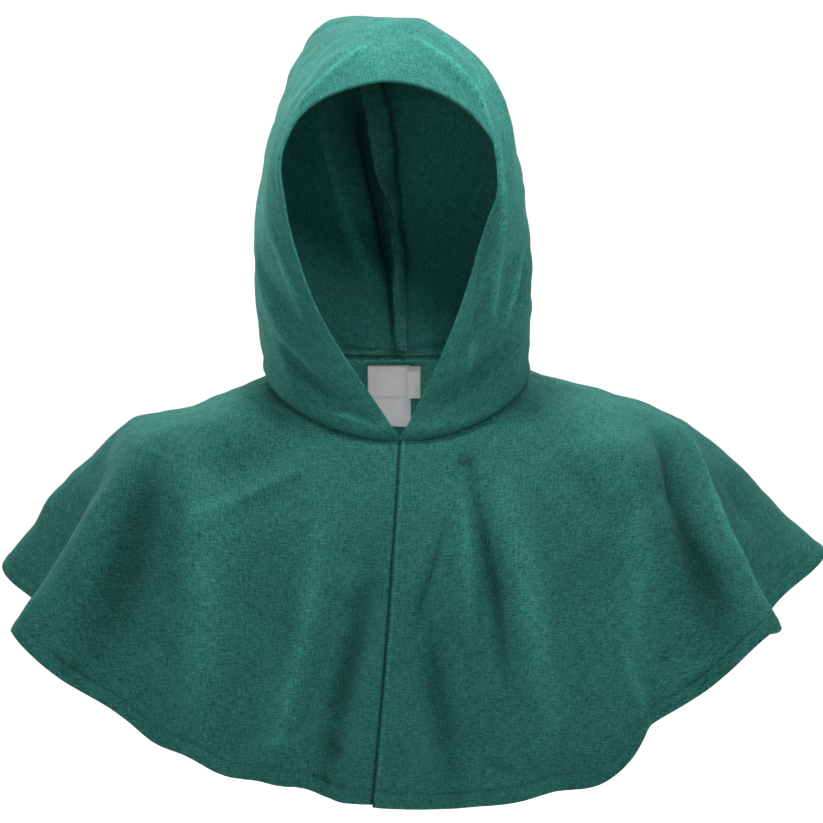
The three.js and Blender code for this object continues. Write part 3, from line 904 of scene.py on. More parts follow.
@dataclass
class MantleShape:
    """One panel of the mantle, from the front seam to the back seam (millimetres)."""

    side: int
    neck: NeckSeam = field(default_factory=NeckSeam)
    sewing: Sewing = field(default_factory=Sewing)
    length: float = 318.0
    bend_half: float = 0.13
    flute_growth: float = 0.25
    seam_swing: float = -6.0
    hem_step: float = 2.4
    seam_offset: float = -0.12
    cut_radius: float = 143.0
    cut_angle: float = 124.0
    round_steps: int = 330
    fall_steps: int = 118

    def flute_shape(self, flute: Flute, direction: np.ndarray) -> np.ndarray:
        """Tell how much of a flute is felt in a direction."""
        return np.exp(-1.4 * ((direction - flute.at) / flute.half) ** 2)

    def slope(self, direction: np.ndarray, share: float) -> np.ndarray:
        """Work out the mantle's slope in degrees below level.

        Args:
            direction: degrees from the front.
            share: share of the mantle's length from the neck.

        Returns:
            The slope in each direction.
        """
        value = {key: column(MANTLE_SECTIONS, key, np.abs(direction)) for key in ("upper", "lower", "bend")}
        bent = smooth(0.5 + (share - value["bend"]) / (2 * self.bend_half))
        lift = 0.0
        for flute in FLUTES:
            grown = smooth((share - flute.start) / self.flute_growth)
            lift = lift + flute.lift * self.flute_shape(flute, direction) * grown
        return mix(value["upper"], value["lower"], bent) - lift

    def reach(self, direction: np.ndarray) -> np.ndarray:
        """Measure the cloth in a direction, from the neck seam to the hem."""
        share = column(MANTLE_SECTIONS, "length", np.abs(direction))
        for flute in FLUTES:
            share = share + flute.longer * self.flute_shape(flute, direction)
        return self.length * share

    def on_cut(self, turn: np.ndarray, from_neck: np.ndarray) -> np.ndarray:
        """Find places on the flat cut, a piece of a ring.

        Args:
            turn: turn from the front seam, in degrees of half a round.
            from_neck: distance from the neck seam.

        Returns:
            Two distances for each place.
        """
        radius = self.cut_radius + from_neck
        spread = np.radians(self.cut_angle) * turn / 180
        return np.stack([self.side * radius * np.sin(spread), -radius * np.cos(spread)], axis=-1)

    def build(self) -> None:
        """Work out the panel's outer side and the distances on its cloth that the details follow."""
        turn = crowded(self.round_steps, 0.4, 0.4)
        step = self.hem_step * (1 - smooth(turn * 6)) if self.side > 0 else 0.0
        length = self.reach(self.side * 180 * turn) + step
        parts = SECTION_STEPS
        lines = np.empty((len(turn), parts + 1, 3))
        reach, drop = np.zeros(len(turn)), np.zeros(len(turn))
        for k in range(parts + 1):
            share = k / parts
            direction = mix(self.seam_swing * share, self.side * 180, turn)
            angle = np.radians(direction)
            start = self.neck.point(angle)
            lines[:, k, 0] = start[:, 0] + reach * np.sin(angle)
            lines[:, k, 1] = start[:, 1] - reach * np.cos(angle)
            lines[:, k, 2] = start[:, 2] - drop
            slope = np.radians(self.slope(direction, share + 0.5 / parts))
            reach = reach + np.cos(slope) * length / parts
            drop = drop + np.sin(slope) * length / parts
        run = run_lengths(lines)
        total = run[:, -1:]
        places = crowded(self.fall_steps, 0.4, 0.3)[None, :] * total
        grid = np.stack([along(line, place) for line, place in zip(lines, places)])
        grid += np.array([self.side * self.seam_offset, 0.0, -self.sewing.gap])
        self.from_neck = places.T[::-1]
        self.from_hem = (total - places).T[::-1]
        flat = self.on_cut(180 * turn[None, :], self.from_neck)
        points = grid.transpose(1, 0, 2)[::-1]
        across = run_lengths(points)
        self.from_front = across
        self.from_back = across[:, -1:] - across
        self.turn = np.repeat(turn[None, :], points.shape[0], axis=0)
        self.sheet = Sheet(points, flat, flip=self.side < 0)


# ---- Finishes ----


def linear(hex_colour: str) -> tuple[float, float, float, float]:
    """Turn an sRGB hex colour such as #2b6a5c into linear values for a shader."""
    parts = [int(hex_colour[i : i + 2], 16) / 255 for i in (1, 3, 5)]
    return (*(p / 12.92 if p <= 0.04045 else ((p + 0.055) / 1.055) ** 2.4 for p in parts), 1.0)


def add_node(
    tree: bpy.types.NodeTree,
    kind: str,
    settings: Mapping[str, object] | None = None,
    links: Mapping[str | int, bpy.types.NodeSocket] | None = None,
) -> bpy.types.Node:
    """Add a node with its settings and links.

    Args:
        tree: the node tree.
        kind: the node's type name.
        settings: values by name, for the node itself where it has that name and else for its input.
        links: sockets that feed its inputs, by the input's name or number.

    Returns:
        The new node.
    """
    node = tree.nodes.new(kind)
    for name, value in (settings or {}).items():
        if not isinstance(name, int) and hasattr(node, name):
            setattr(node, name, value)
        else:
            node.inputs[name].default_value = value
    for name, socket in (links or {}).items():
        tree.links.new(socket, node.inputs[name])
    return node


def blank_material(name: str) -> tuple[bpy.types.Material, bpy.types.NodeTree, bpy.types.Node]:
    """Make an empty material with its output node.

    Args:
        name: the material's name.

    Returns:
        The material, its node tree and the output node.
    """
    material = bpy.data.materials.new(name)
    material.use_nodes = True
    tree = material.node_tree
    tree.nodes.clear()
    return material, tree, tree.nodes.new("ShaderNodeOutputMaterial")


@dataclass(frozen=True)
class ClothFinish:
    """What all finishes share: one material, drawn at places on the cut cloth."""

    name: str

    def surface(
        self, tree: bpy.types.NodeTree, cut: bpy.types.NodeSocket
    ) -> tuple[bpy.types.NodeSocket, bpy.types.NodeSocket, Mapping[str, object]]:
        """Draw the surface.

        Args:
            tree: the node tree.
            cut: the place on the cut cloth, in metres.

        Returns:
            The sockets with its colour and its normal, and the values that are the same all over it.
        """
        raise NotImplementedError

    def material(self) -> bpy.types.Material:
        """Make the material.

        Returns:
            The new material.
        """
        material, tree, output = blank_material(self.name)
        cut = add_node(tree, "ShaderNodeUVMap", {"uv_map": "cut"}).outputs["UV"]
        colour, bump, even = self.surface(tree, cut)
        links = {"Base Color": colour, "Normal": bump}
        shader = add_node(tree, "ShaderNodeBsdfPrincipled", even, links)
        tree.links.new(shader.outputs[0], output.inputs["Surface"])
        return material


@dataclass(frozen=True)
class CottonCanvas(ClothFinish):
    """Heathered cotton canvas, woven plain from uneven green yarns and washed soft.

    The eye sees a matt cloth with a fine broken grain along and across, dark slubs here and there, and a
    faint pale bloom where it turns away. Crests of its creases are painted lighter as painted highlight and
    valleys painted darker as painted shade. The yarns are 0.5 mm apart, too fine for the picture, so their
    unevenness is drawn 1.1 mm wide.
    """

    name: str = "green_cotton_canvas"
    deep: str = "#2a6f65"
    middle: str = "#3b897f"
    pale: str = "#52a699"
    slub: str = "#1d4742"
    nep: str = "#86bdb2"
    yarn: float = 1.1
    yarn_run: float = 9.0
    slub_width: float = 1.0
    slub_run: float = 5.0
    # Painted highlight on crease crests and painted shade in valleys: the colour scale and the height at which
    # each is full.
    crest: float = 1.55
    crest_height: float = 12.0
    valley: float = 0.45
    valley_depth: float = 15.0
    bloom: float = 0.1
    roughness: float = 0.9

    def streaks(
        self, tree: bpy.types.NodeTree, cut: bpy.types.NodeSocket, size: tuple[float, float], detail: float
    ) -> bpy.types.NodeSocket:
        """Draw random streaks of a width and height in millimetres.

        Args:
            tree: the node tree.
            cut: the place on the cut cloth, in metres.
            size: rough width and height of a streak.
            detail: how broken the streaks are.

        Returns:
            The socket with their strength, round a half.
        """
        scale = (1000 / size[0], 1000 / size[1], 1.0)
        place = add_node(tree, "ShaderNodeVectorMath", {"operation": "MULTIPLY", 1: scale}, {0: cut})
        noise = {"noise_dimensions": "2D", "Scale": 1.0, "Detail": detail, "Roughness": 0.6}
        return add_node(tree, "ShaderNodeTexNoise", noise, {"Vector": place.outputs[0]}).outputs["Fac"]

    def surface(
        self, tree: bpy.types.NodeTree, cut: bpy.types.NodeSocket
    ) -> tuple[bpy.types.NodeSocket, bpy.types.NodeSocket, Mapping[str, object]]:
        """Draw the yarns, their slubs and neps, the painted shade and highlight of the creases and the soft
        bloom.

        Args:
            tree: the node tree.
            cut: the place on the cut cloth, in metres.

        Returns:
            The sockets with its colour and its normal, and the values that are the same all over it.
        """
        tone = self.streaks(tree, cut, (self.yarn, self.yarn_run), 2.0)
        for size, detail in (((self.yarn_run, self.yarn), 2.0), ((self.yarn * 1.3, self.yarn * 1.3), 3.0)):
            more = self.streaks(tree, cut, size, detail)
            tone = add_node(tree, "ShaderNodeMath", {"operation": "ADD"}, {0: tone, 1: more}).outputs[0]
        ramp = add_node(tree, "ShaderNodeMapRange", {"From Min": 1.05, "From Max": 1.95}, {"Value": tone})
        colours = add_node(tree, "ShaderNodeValToRGB", {}, {"Fac": ramp.outputs[0]})
        points = colours.color_ramp.elements
        points[0].color, points[1].color = linear(self.deep), linear(self.pale)
        points.new(0.5).color = linear(self.middle)
        colour = colours.outputs["Color"]
        patches = self.streaks(tree, cut, (70.0, 90.0), 3.0)
        painted_shading = add_node(tree, "ShaderNodeAttribute", {"attribute_name": "painted_shading"}).outputs["Fac"]
        # Random patches of tone, then painted highlight on crease crests and painted shade in valleys.
        for socket, ease, start, end, low, high in (
            (patches, "LINEAR", 0.3, 0.7, 0.93, 1.07),
            (painted_shading, "SMOOTHSTEP", 0.0, self.crest_height, 1.0, self.crest),
            (painted_shading, "SMOOTHSTEP", 0.0, -self.valley_depth, 1.0, self.valley),
        ):
            ends = {"From Min": start, "From Max": end, "To Min": low, "To Max": high}
            settings = {"interpolation_type": ease, **ends}
            fade = add_node(tree, "ShaderNodeMapRange", settings, {"Value": socket}).outputs[0]
            links = {0: colour, "Scale": fade}
            colour = add_node(tree, "ShaderNodeVectorMath", {"operation": "SCALE"}, links).outputs[0]
        for size, low, high, hue in (
            ((self.slub_run, self.slub_width), 0.68, 0.74, self.slub),
            ((self.slub_width, self.slub_run), 0.69, 0.75, self.slub),
            ((1.3, 1.6), 0.745, 0.8, self.nep),
        ):
            spots = self.streaks(tree, cut, size, 1.0)
            ends = {"From Min": low, "From Max": high, "To Max": 0.75}
            share = add_node(tree, "ShaderNodeMapRange", ends, {"Value": spots}).outputs[0]
            settings = {"data_type": "RGBA", 7: linear(hue)}
            colour = add_node(tree, "ShaderNodeMix", settings, {0: share, 6: colour}).outputs[2]
        soft = self.streaks(tree, cut, (14.0, 18.0), 3.0)
        relief = {"Strength": 0.5, "Distance": 0.0012}
        soft_bump = add_node(tree, "ShaderNodeBump", relief, {"Height": soft}).outputs[0]
        relief = {"Strength": 0.45, "Distance": 0.0003}
        bump = add_node(tree, "ShaderNodeBump", relief, {"Height": tone, "Normal": soft_bump}).outputs[0]
        even = {
            "Roughness": self.roughness,
            "Specular IOR Level": 0.12,
            "Sheen Weight": self.bloom,
            "Sheen Roughness": 0.5,
            "Sheen Tint": linear("#9fd8cc"),
        }
        return colour, bump, even


@dataclass(frozen=True)
class SpunThread(ClothFinish):
    """Spun polyester sewing thread, twisted from two plies: matt, with a faint slanting line."""

    colour: str
    ply: float = 0.8

    def surface(
        self, tree: bpy.types.NodeTree, cut: bpy.types.NodeSocket
    ) -> tuple[bpy.types.NodeSocket, bpy.types.NodeSocket, Mapping[str, object]]:
        """Draw the slanting line between the two plies.

        Args:
            tree: the node tree.
            cut: the place on the cut cloth, in metres.

        Returns:
            The sockets with its colour and its normal, and the values that are the same all over it.
        """
        slant = add_node(tree, "ShaderNodeMapping", {"Rotation": (0.0, 0.0, 0.6)}, {"Vector": cut}).outputs[0]
        twist = add_node(
            tree, "ShaderNodeTexWave", {"Scale": 1000 / self.ply / 20, "Distortion": 1.0}, {"Vector": slant}
        ).outputs["Fac"]
        dark, pale = linear(self.colour), tuple(min(1.0, c * 1.35) for c in linear(self.colour))
        settings = {"data_type": "RGBA", 6: dark, 7: pale}
        colour = add_node(tree, "ShaderNodeMix", settings, {0: twist}).outputs[2]
        relief = {"Strength": 0.4, "Distance": 0.0001}
        bump = add_node(tree, "ShaderNodeBump", relief, {"Height": twist}).outputs[0]
        return colour, bump, {"Roughness": 0.7, "Specular IOR Level": 0.3, "Sheen Weight": 0.2}


@dataclass(frozen=True)
class LabelTape(ClothFinish):
    """Woven polyester label tape: off-white, smooth and faintly silky, with fine ribs across.

    The ribs are 0.35 mm apart, too fine for the picture, and are drawn 0.9 mm apart and very low.
    """

    name: str = "white_label_tape"
    pale: str = "#f3ecef"
    dull: str = "#e2d9de"
    rib: float = 0.9

    def surface(
        self, tree: bpy.types.NodeTree, cut: bpy.types.NodeSocket
    ) -> tuple[bpy.types.NodeSocket, bpy.types.NodeSocket, Mapping[str, object]]:
        """Draw the ribs and the soft creases of the tape.

        Args:
            tree: the node tree.
            cut: the place on the cut cloth, in metres.

        Returns:
            The sockets with its colour and its normal, and the values that are the same all over it.
        """
        settings = {"operation": "MULTIPLY", 1: (60.0, 1000 / self.rib, 1.0)}
        place = add_node(tree, "ShaderNodeVectorMath", settings, {0: cut}).outputs[0]
        ribs, creases = (
            add_node(
                tree,
                "ShaderNodeTexNoise",
                {"noise_dimensions": "2D", "Scale": scale, "Detail": detail},
                {"Vector": socket},
            ).outputs["Fac"]
            for scale, detail, socket in ((1.0, 1.0, place), (90.0, 2.0, cut))
        )
        settings = {"data_type": "RGBA", 6: linear(self.dull), 7: linear(self.pale)}
        colour = add_node(tree, "ShaderNodeMix", settings, {0: creases}).outputs[2]
        relief = {"Strength": 0.4, "Distance": 0.001}
        soft = add_node(tree, "ShaderNodeBump", relief, {"Height": creases}).outputs[0]
        relief = {"Strength": 0.3, "Distance": 0.0001}
        bump = add_node(tree, "ShaderNodeBump", relief, {"Height": ribs, "Normal": soft}).outputs[0]
        return colour, bump, {"Roughness": 0.55, "Specular IOR Level": 0.4, "Sheen Weight": 0.15}


class Finish(Enum):
    """The finishes of the pieces."""

    CLOTH = CottonCanvas()
    SEAM_THREAD = SpunThread("green_sewing_thread", "#3f8377")
    EDGE_THREAD = SpunThread("pale_green_overlock_thread", "#6fa79c")
    TAPE = LabelTape()

    def material(self) -> bpy.types.Material:
        """Find the finish's material, or make it when it is first used."""
        return bpy.data.materials.get(self.value.name) or self.value.material()

    @property
    def slot(self) -> str:
        """The name of the material slot that the finish belongs to."""
        return "white_tape" if self is Finish.TAPE else "green_cotton"


# ---- Sewing ----


@dataclass(frozen=True)
class Seamstress:
    """Draws stitches and overlocked edges as threads (millimetres)."""

    sewing: Sewing = field(default_factory=Sewing)
    zigzag: float = 2.6
    bite: float = 5.0

    def stitches(self, line: np.ndarray, normals: np.ndarray) -> MeshData:
        """Lay a row of lockstitches on a surface.

        Args:
            line: points of the surface under the row.
            normals: unit normals there.

        Returns:
            The threads, one for each stitch.
        """
        run = run_lengths(line)
        count = int(run[-1] / self.sewing.stitch_pitch)
        lift = np.array([-0.25, 0.12, 0.2, 0.12, -0.25])
        parts = []
        for k in range(count):
            start = (k + 0.5) * self.sewing.stitch_pitch
            places = start + np.linspace(0, self.sewing.stitch_length, len(lift))
            points = along(line, places)
            out = unit(along(line, places, normals))
            parts.append(tube(points + out * lift[:, None], self.sewing.thread_radius, sides=5))
        return joined(parts)

    def overlock(
        self, edge: np.ndarray, into: np.ndarray, normals: np.ndarray, wall: float, seed: int
    ) -> MeshData:
        """Wrap zigzag threads over a raw edge.

        Args:
            edge: points of the raw edge, in the middle of its thickness.
            into: unit vectors from the edge into the cloth.
            normals: unit normals of the cloth there.
            wall: the cloth's thickness.
            seed: for the small unevenness of the stitches.

        Returns:
            The threads.
        """
        run = run_lengths(edge)
        rng = np.random.default_rng(seed)
        count = int(run[-1] / self.zigzag)
        places = np.repeat(np.arange(count) * self.zigzag, 4)
        places = places + np.tile([0.0, 0.3, 0.5, 0.8], count) * self.zigzag
        inward = np.tile([-0.35, self.bite * 0.55, self.bite, self.bite * 0.5], count)
        inward = inward + rng.normal(0, 0.25, inward.shape)
        points = along(edge, places)
        way, out = unit(along(edge, places, into)), unit(along(edge, places, normals))
        off_middle = wall / 2 + self.sewing.thread_radius * 0.6
        parts = []
        for side in (-1, 1):
            height = np.tile([0.0, 1.0, 1.05, 1.0], count) * side * off_middle
            path = points + way * inward[:, None] + out * height[:, None]
            parts.append(tube(path, self.sewing.thread_radius, sides=4))
        return joined(parts)

    def raw_edge(
        self, points: np.ndarray, flat: np.ndarray, outward: np.ndarray, wall: float, seed: int
    ) -> tuple[MeshData, MeshData]:
        """Build a strip of raw edge with its overlock.

        Args:
            points: the strip's points, from the raw edge down to the seam.
            flat: their places on the cut.
            outward: the way that its outer side faces.
            wall: its thickness.
            seed: for the small unevenness of the stitches.

        Returns:
            The strip and its threads.
        """
        band = Sheet(points, flat)
        band.flip = bool((band.normals() * outward).sum() < 0)
        facing = band.normals()[0]
        into = unit(points[1] - points[0])
        thread = self.overlock(points[0] - facing * wall / 2, into, facing, wall, seed)
        return rounded_solid(band, np.full(points.shape[:2], wall)), thread


@dataclass
class Dresser:
    """Makes pieces, and puts them in the place of the frame's nodes."""

    seat: float

    def piece(
        self, name: str, data: MeshData, finish: Finish, replaces: Sequence[str] = ()
    ) -> bpy.types.Object:
        """Make one piece that moves with the object.

        Args:
            name: the piece's name.
            data: its mesh.
            finish: its finish.
            replaces: nodes of the frame that it stands for.

        Returns:
            The piece.
        """
        piece = make_object(name, data, self.seat, finish.material())
        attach(piece, "root")
        if replaces:
            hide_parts(*replaces)
        LOG.info("%s: %d faces", name, len(piece.data.polygons))
        return piece


# ---- The hood ----


@dataclass
class Hood:
    """The hood: its cloth with the turned face hem, and the raw edges of its back and neck seams."""

    shape: HoodShape = field(default_factory=HoodShape)
    sewing: Sewing = field(default_factory=Sewing)
    neck_bulge: float = 2.4
    back_top_gap: float = 34.0

    def folds(self) -> np.ndarray:
        """Work out the shape of the creases.

        Returns:
            Their height and their painted shading at each point: painted shade in valleys, painted highlight
            on crests.
        """
        s = self.shape
        height = sum(crease.rise(crease.eased(), s.arc, s.from_opening) for crease in HOOD_CREASES)
        return height * smooth(s.from_back / 10) * smooth(s.from_neck / 10)

    def relief(self) -> np.ndarray:
        """Work out the fine relief: wrinkles, puckers along the seams and the neck seam's roll.

        Returns:
            Its height at each point.
        """
        s = self.shape
        across, down = s.arc, s.from_opening
        calm = smooth(s.from_back / 16) * smooth(s.from_neck / 18) * mix(0.35, 1.0, smooth((down - 12) / 30))
        wrinkles = crumpled(HOOD_WRINKLES, 11, across, down)
        neck = self.neck_bulge * bell(s.from_neck - 9, 7) - 2.4 * bell(s.from_neck, 2.2)
        neck_puckers = 0.55 * Crumple(14, 15).at(down, s.from_neck * 0.35) * np.exp(-s.from_neck / 13)
        back = -1.3 * bell(s.from_back, 2.2) + 0.5 * bell(s.from_back - 6, 4)
        back_puckers = 0.4 * Crumple(15, 13).at(s.from_neck, s.from_back * 0.4) * np.exp(-s.from_back / 9)
        hem = -0.3 * bell(down - self.sewing.face_hem + 1.5, 1.1) + 0.25 * bell(down - 9, 6)
        hem_puckers = 0.16 * Crumple(16, 12).at(across, down * 0.4) * bell(down - self.sewing.face_hem, 12)
        back_puckers = back_puckers * smooth(s.from_back + 0.2)
        return calm * wrinkles + neck + neck_puckers + back + back_puckers + hem + hem_puckers

    def dress(self, dresser: Dresser, seamstress: Seamstress) -> None:
        """Make the hood's pieces.

        Args:
            dresser: puts them in place.
            seamstress: draws their threads.
        """
        s = self.shape
        # The creases' painted shade and painted highlight go onto the cloth with its solid.
        folds, shade_paint = self.folds()
        cloth = s.sheet.pushed(folds + self.relief())
        thin = smooth((s.from_opening - self.sewing.face_hem + 0.4) / 1.2)
        wall = mix(self.sewing.folded_wall, self.sewing.wall, thin)
        solid = rounded_solid(cloth, wall, shade_paint)
        hood = dresser.piece("hood_cloth", solid, Finish.CLOTH, ["hood", "face_hem"])
        back, back_thread = self.back_edges(cloth, seamstress)
        back_piece = dresser.piece("back_seam_edges", back, Finish.CLOTH, ["back_seam_allowance"])
        back_threads = dresser.piece("back_seam_overlock", back_thread, Finish.EDGE_THREAD)
        neck, neck_thread = self.neck_edges(cloth, seamstress)
        neck_piece = dresser.piece("neck_seam_edges", neck, Finish.CLOTH, ["neck_seam_allowance"])
        neck_threads = dresser.piece("neck_seam_overlock", neck_thread, Finish.EDGE_THREAD)

    def back_edges(self, cloth: Sheet, seamstress: Seamstress) -> tuple[MeshData, MeshData]:
        """Build the back seam's two raw edges, which stand off inside and lean to the left half way up.

        Args:
            cloth: the hood's outer side.
            seamstress: draws the overlock.

        Returns:
            The edges and their threads.
        """
        crown = self.shape.arch_half_steps
        seam = cloth.points[-1, : crown + 1]
        normals = self.shape.sheet.normals()[-1, : crown + 1]
        from_crown = np.linalg.norm(seam - seam[crown], axis=-1)
        whole = from_crown[0]
        keep = (from_crown > self.back_top_gap) & (run_lengths(seam) > self.sewing.neck_allowance)
        way_up = unit(np.gradient(seam, axis=0))[keep]
        share = (from_crown / whole)[keep]
        turn = np.radians(column(SEAM_LEANS, "lean", share))
        inward = -normals[keep]
        cross = np.cross(way_up, inward)
        way = unit(inward * np.cos(turn)[:, None] + cross * np.sin(turn)[:, None])
        over = unit(np.cross(way, way_up))
        depth = self.sewing.wall + 0.5 + 1.4 * np.abs(np.sin(turn))
        foot = seam[keep] - normals[keep] * depth[:, None]
        run = run_lengths(foot)
        steps = np.linspace(1.0, 0.0, 13)
        width = column(SEAM_LEANS, "width", share) + 0.5 * Crumple(31, 16).at(run, run * 0)
        sway = 1.4 + 0.5 * Crumple(32, 40).at(run, run * 0)
        bend = column(SEAM_LEANS, "bend", share)
        rows = []
        for t in steps:
            aside = sway - bend * math.sin(math.pi * t)
            rows.append(foot + way * (width * t)[:, None] + over * aside[:, None])
        flat = np.stack(np.broadcast_arrays(run[None, :], steps[:, None] * width[None, :]), axis=-1)
        return seamstress.raw_edge(np.array(rows), flat, over, 2 * self.sewing.wall, 41)

    def neck_edges(self, cloth: Sheet, seamstress: Seamstress) -> tuple[MeshData, MeshData]:
        """Build the neck seam's raw edges, turned up inside the hood between the ends of the face hem.

        Args:
            cloth: the hood's outer side.
            seamstress: draws the overlock.

        Returns:
            The edges and their threads.
        """
        s = self.shape
        crown = s.arch_half_steps
        last = cloth.points.shape[0] - 1
        heights = np.linspace(self.sewing.neck_allowance + 0.5, 2.8, 8)
        halves = []
        for side in (-1, 1):
            cols = np.arange(crown + 1) if side < 0 else np.arange(2 * crown, crown - 1, -1)
            rows = np.arange(last + 1)
            places = np.array([np.interp(heights, s.from_neck[i, cols], cols) for i in rows])
            keep = s.from_opening[:, cols[0]] > self.sewing.face_hem + 1.0
            points, normals = cloth.at(rows[keep][:, None], places[keep])
            halves.append((points.transpose(1, 0, 2), normals.transpose(1, 0, 2)))
        points = np.concatenate([halves[0][0], halves[1][0][:, -2::-1]], axis=1)
        normals = np.concatenate([halves[0][1], halves[1][1][:, -2::-1]], axis=1)
        run = run_lengths(points[-1])
        stand = mix(0.3, 1.5, (heights / heights[0])[:, None] ** 2)
        stand = stand + 0.35 * Crumple(33, 24).at(run, run * 0)[None, :]
        depth = self.sewing.wall + np.maximum(stand, 0.25)
        points = points - normals * depth[..., None]
        flat = np.stack(np.broadcast_arrays(run[None, :], heights[:, None]), axis=-1)
        return seamstress.raw_edge(points, flat, normals, 2 * self.sewing.wall, 42)


# ---- The mantle ----


@dataclass
class Mantle:
    """The shoulder mantle: two panels with turned hems, and the pressed-open edges of their two seams."""

    sewing: Sewing = field(default_factory=Sewing)
    panels: tuple[MantleShape, MantleShape] = field(
        default_factory=lambda: (MantleShape(-1), MantleShape(1))
    )
    tuck_rise: float = 2.2
    tuck_depth: float = 3.0

    def folds(self, panel: MantleShape) -> np.ndarray:
        """Work out a panel's folds, creases and seam lines.

        Args:
            panel: the panel.

        Returns:
            Their height and their painted shading at each point: painted shade in valleys and seam grooves,
            painted highlight on crests and on the lapped seam edge.
        """
        across, down = panel.sheet.flat[..., 0], panel.sheet.flat[..., 1]
        height = sum(
            crease.rise(panel.on_cut(*crease.eased().T), across, down)
            for crease in (LEFT_MANTLE_CREASES if panel.side < 0 else RIGHT_MANTLE_CREASES)
        )
        height = height * smooth(panel.from_front / 10) * smooth(panel.from_neck / 16)
        return height + self.seam_lines(panel)

    def seam_lines(self, panel: MantleShape) -> np.ndarray:
        """Work out the hem's stitch line and the front seam, where the right panel lies over the left.

        Args:
            panel: the panel.

        Returns:
            Their height and their painted shading at each point.
        """
        front = panel.from_front
        # Painted shade in the front seam's groove and along the hem's stitch line; the right panel's lapped
        # edge gets a painted highlight.
        shade_paint = -24.0 * bell(front, 1.3) - 6.0 * bell(panel.from_hem - self.sewing.hem_stitch, 1.4)
        if panel.side < 0:
            return np.stack([-0.7 * bell(front, 4.0) - 0.8 * bell(front, 1.2), shade_paint])
        lip = bell(front - 3.4, 1.6)
        return np.stack([0.9 * lip - 0.8 * bell(front, 1.2), 6.0 * lip + shade_paint])

    def relief(self, panel: MantleShape) -> np.ndarray:
        """Work out a panel's fine relief: wrinkles, puckers, the hem's stitch line and the back seam.

        Args:
            panel: the panel.

        Returns:
            Its height at each point.
        """
        across, down = panel.sheet.flat[..., 0], panel.sheet.flat[..., 1]
        front, back, hem, neck = panel.from_front, panel.from_back, panel.from_hem, panel.from_neck
        calm = smooth(front / 16) * smooth(back / 16)
        calm = calm * mix(0.45, 1.0, smooth((hem - 12) / 30)) * smooth(neck / 22)
        seed = 20 if panel.side < 0 else 60
        wrinkles = crumpled(MANTLE_WRINKLES, seed + 1, across, down)
        back_groove = -0.5 * bell(back, 1.6)
        seam_puckers = 0.3 * Crumple(seed + 4, 14).at(neck, front * 0.4) * np.exp(-front / 8)
        back_puckers = 0.3 * Crumple(seed + 5, 14).at(neck, back * 0.4) * np.exp(-back / 8)
        along_hem = panel.turn * panel.from_front.max()
        hem_line = -0.35 * bell(hem - self.sewing.hem_stitch, 1.1) + 0.35 * bell(hem - 5.5, 3.5)
        hem_puckers = 0.3 * Crumple(seed + 6, 14).at(along_hem, hem * 0.5) * bell(hem - 9, 9)
        neck_puckers = 0.4 * Crumple(seed + 7, 15).at(panel.turn * 310, neck * 0.35) * np.exp(-neck / 10)
        puckers = seam_puckers + back_puckers + hem_puckers + neck_puckers
        return calm * wrinkles + back_groove + hem_line + puckers

    def tucked(self, panel: MantleShape) -> Sheet:
        """Give a panel its relief, and turn its upper edge in and up behind the hood's edge.

        Args:
            panel: the panel.

        Returns:
            Its outer side.
        """
        cloth = panel.sheet.pushed(self.folds(panel)[0] + self.relief(panel))
        neck = panel.from_neck[..., None]
        outward = unit(cloth.points * np.array([1.0, 1.0, 0.0]))
        rise = np.array([0.0, 0.0, self.tuck_rise]) * bell(neck, 1.6)
        cloth.points += rise - outward * self.tuck_depth * bell(neck, 2.6)
        return cloth

    def dress(self, dresser: Dresser, seamstress: Seamstress) -> None:
        """Make the mantle's pieces.

        Args:
            dresser: puts them in place.
            seamstress: draws their threads.
        """
        cloths = [self.tucked(panel) for panel in self.panels]
        for ends, name, node in (
            ("front", "front_seam", "front_seam_allowance"),
            ("back", "mantle_back_seam", "mantle_back_allowance"),
        ):
            strips = [
                self.pressed_edge(panel, cloth, ends, seamstress) for panel, cloth in zip(self.panels, cloths)
            ]
            edges = dresser.piece(f"{name}_edges", joined([s[0] for s in strips]), Finish.CLOTH, [node])
            threads = dresser.piece(f"{name}_overlock", joined([s[1] for s in strips]), Finish.EDGE_THREAD)
        for panel, cloth, word, ends in zip(self.panels, cloths, ("left", "right"), ("front", "back")):
            thin = smooth((panel.from_hem - self.sewing.mantle_hem + 0.4) / 1.2)
            wall = mix(self.sewing.folded_wall, self.sewing.wall, thin)
            name = f"mantle_{word}"
            # The cloth carries the painted shade of valleys and seams and the painted highlight of crests.
            solid = rounded_solid(cloth, wall, self.folds(panel)[1])
            piece = dresser.piece(f"{name}_cloth", solid, Finish.CLOTH, [name, f"{name}_hem"])
            rows, cols = np.arange(cloth.points.shape[0]), np.arange(cloth.points.shape[1])
            at_hem = np.array([np.interp(self.sewing.hem_stitch, panel.from_hem[:, j], rows) for j in cols])
            row_of_stitches = seamstress.stitches(*cloth.at(at_hem, cols))
            stitches = dresser.piece(f"{name}_hem_stitches", row_of_stitches, Finish.SEAM_THREAD)

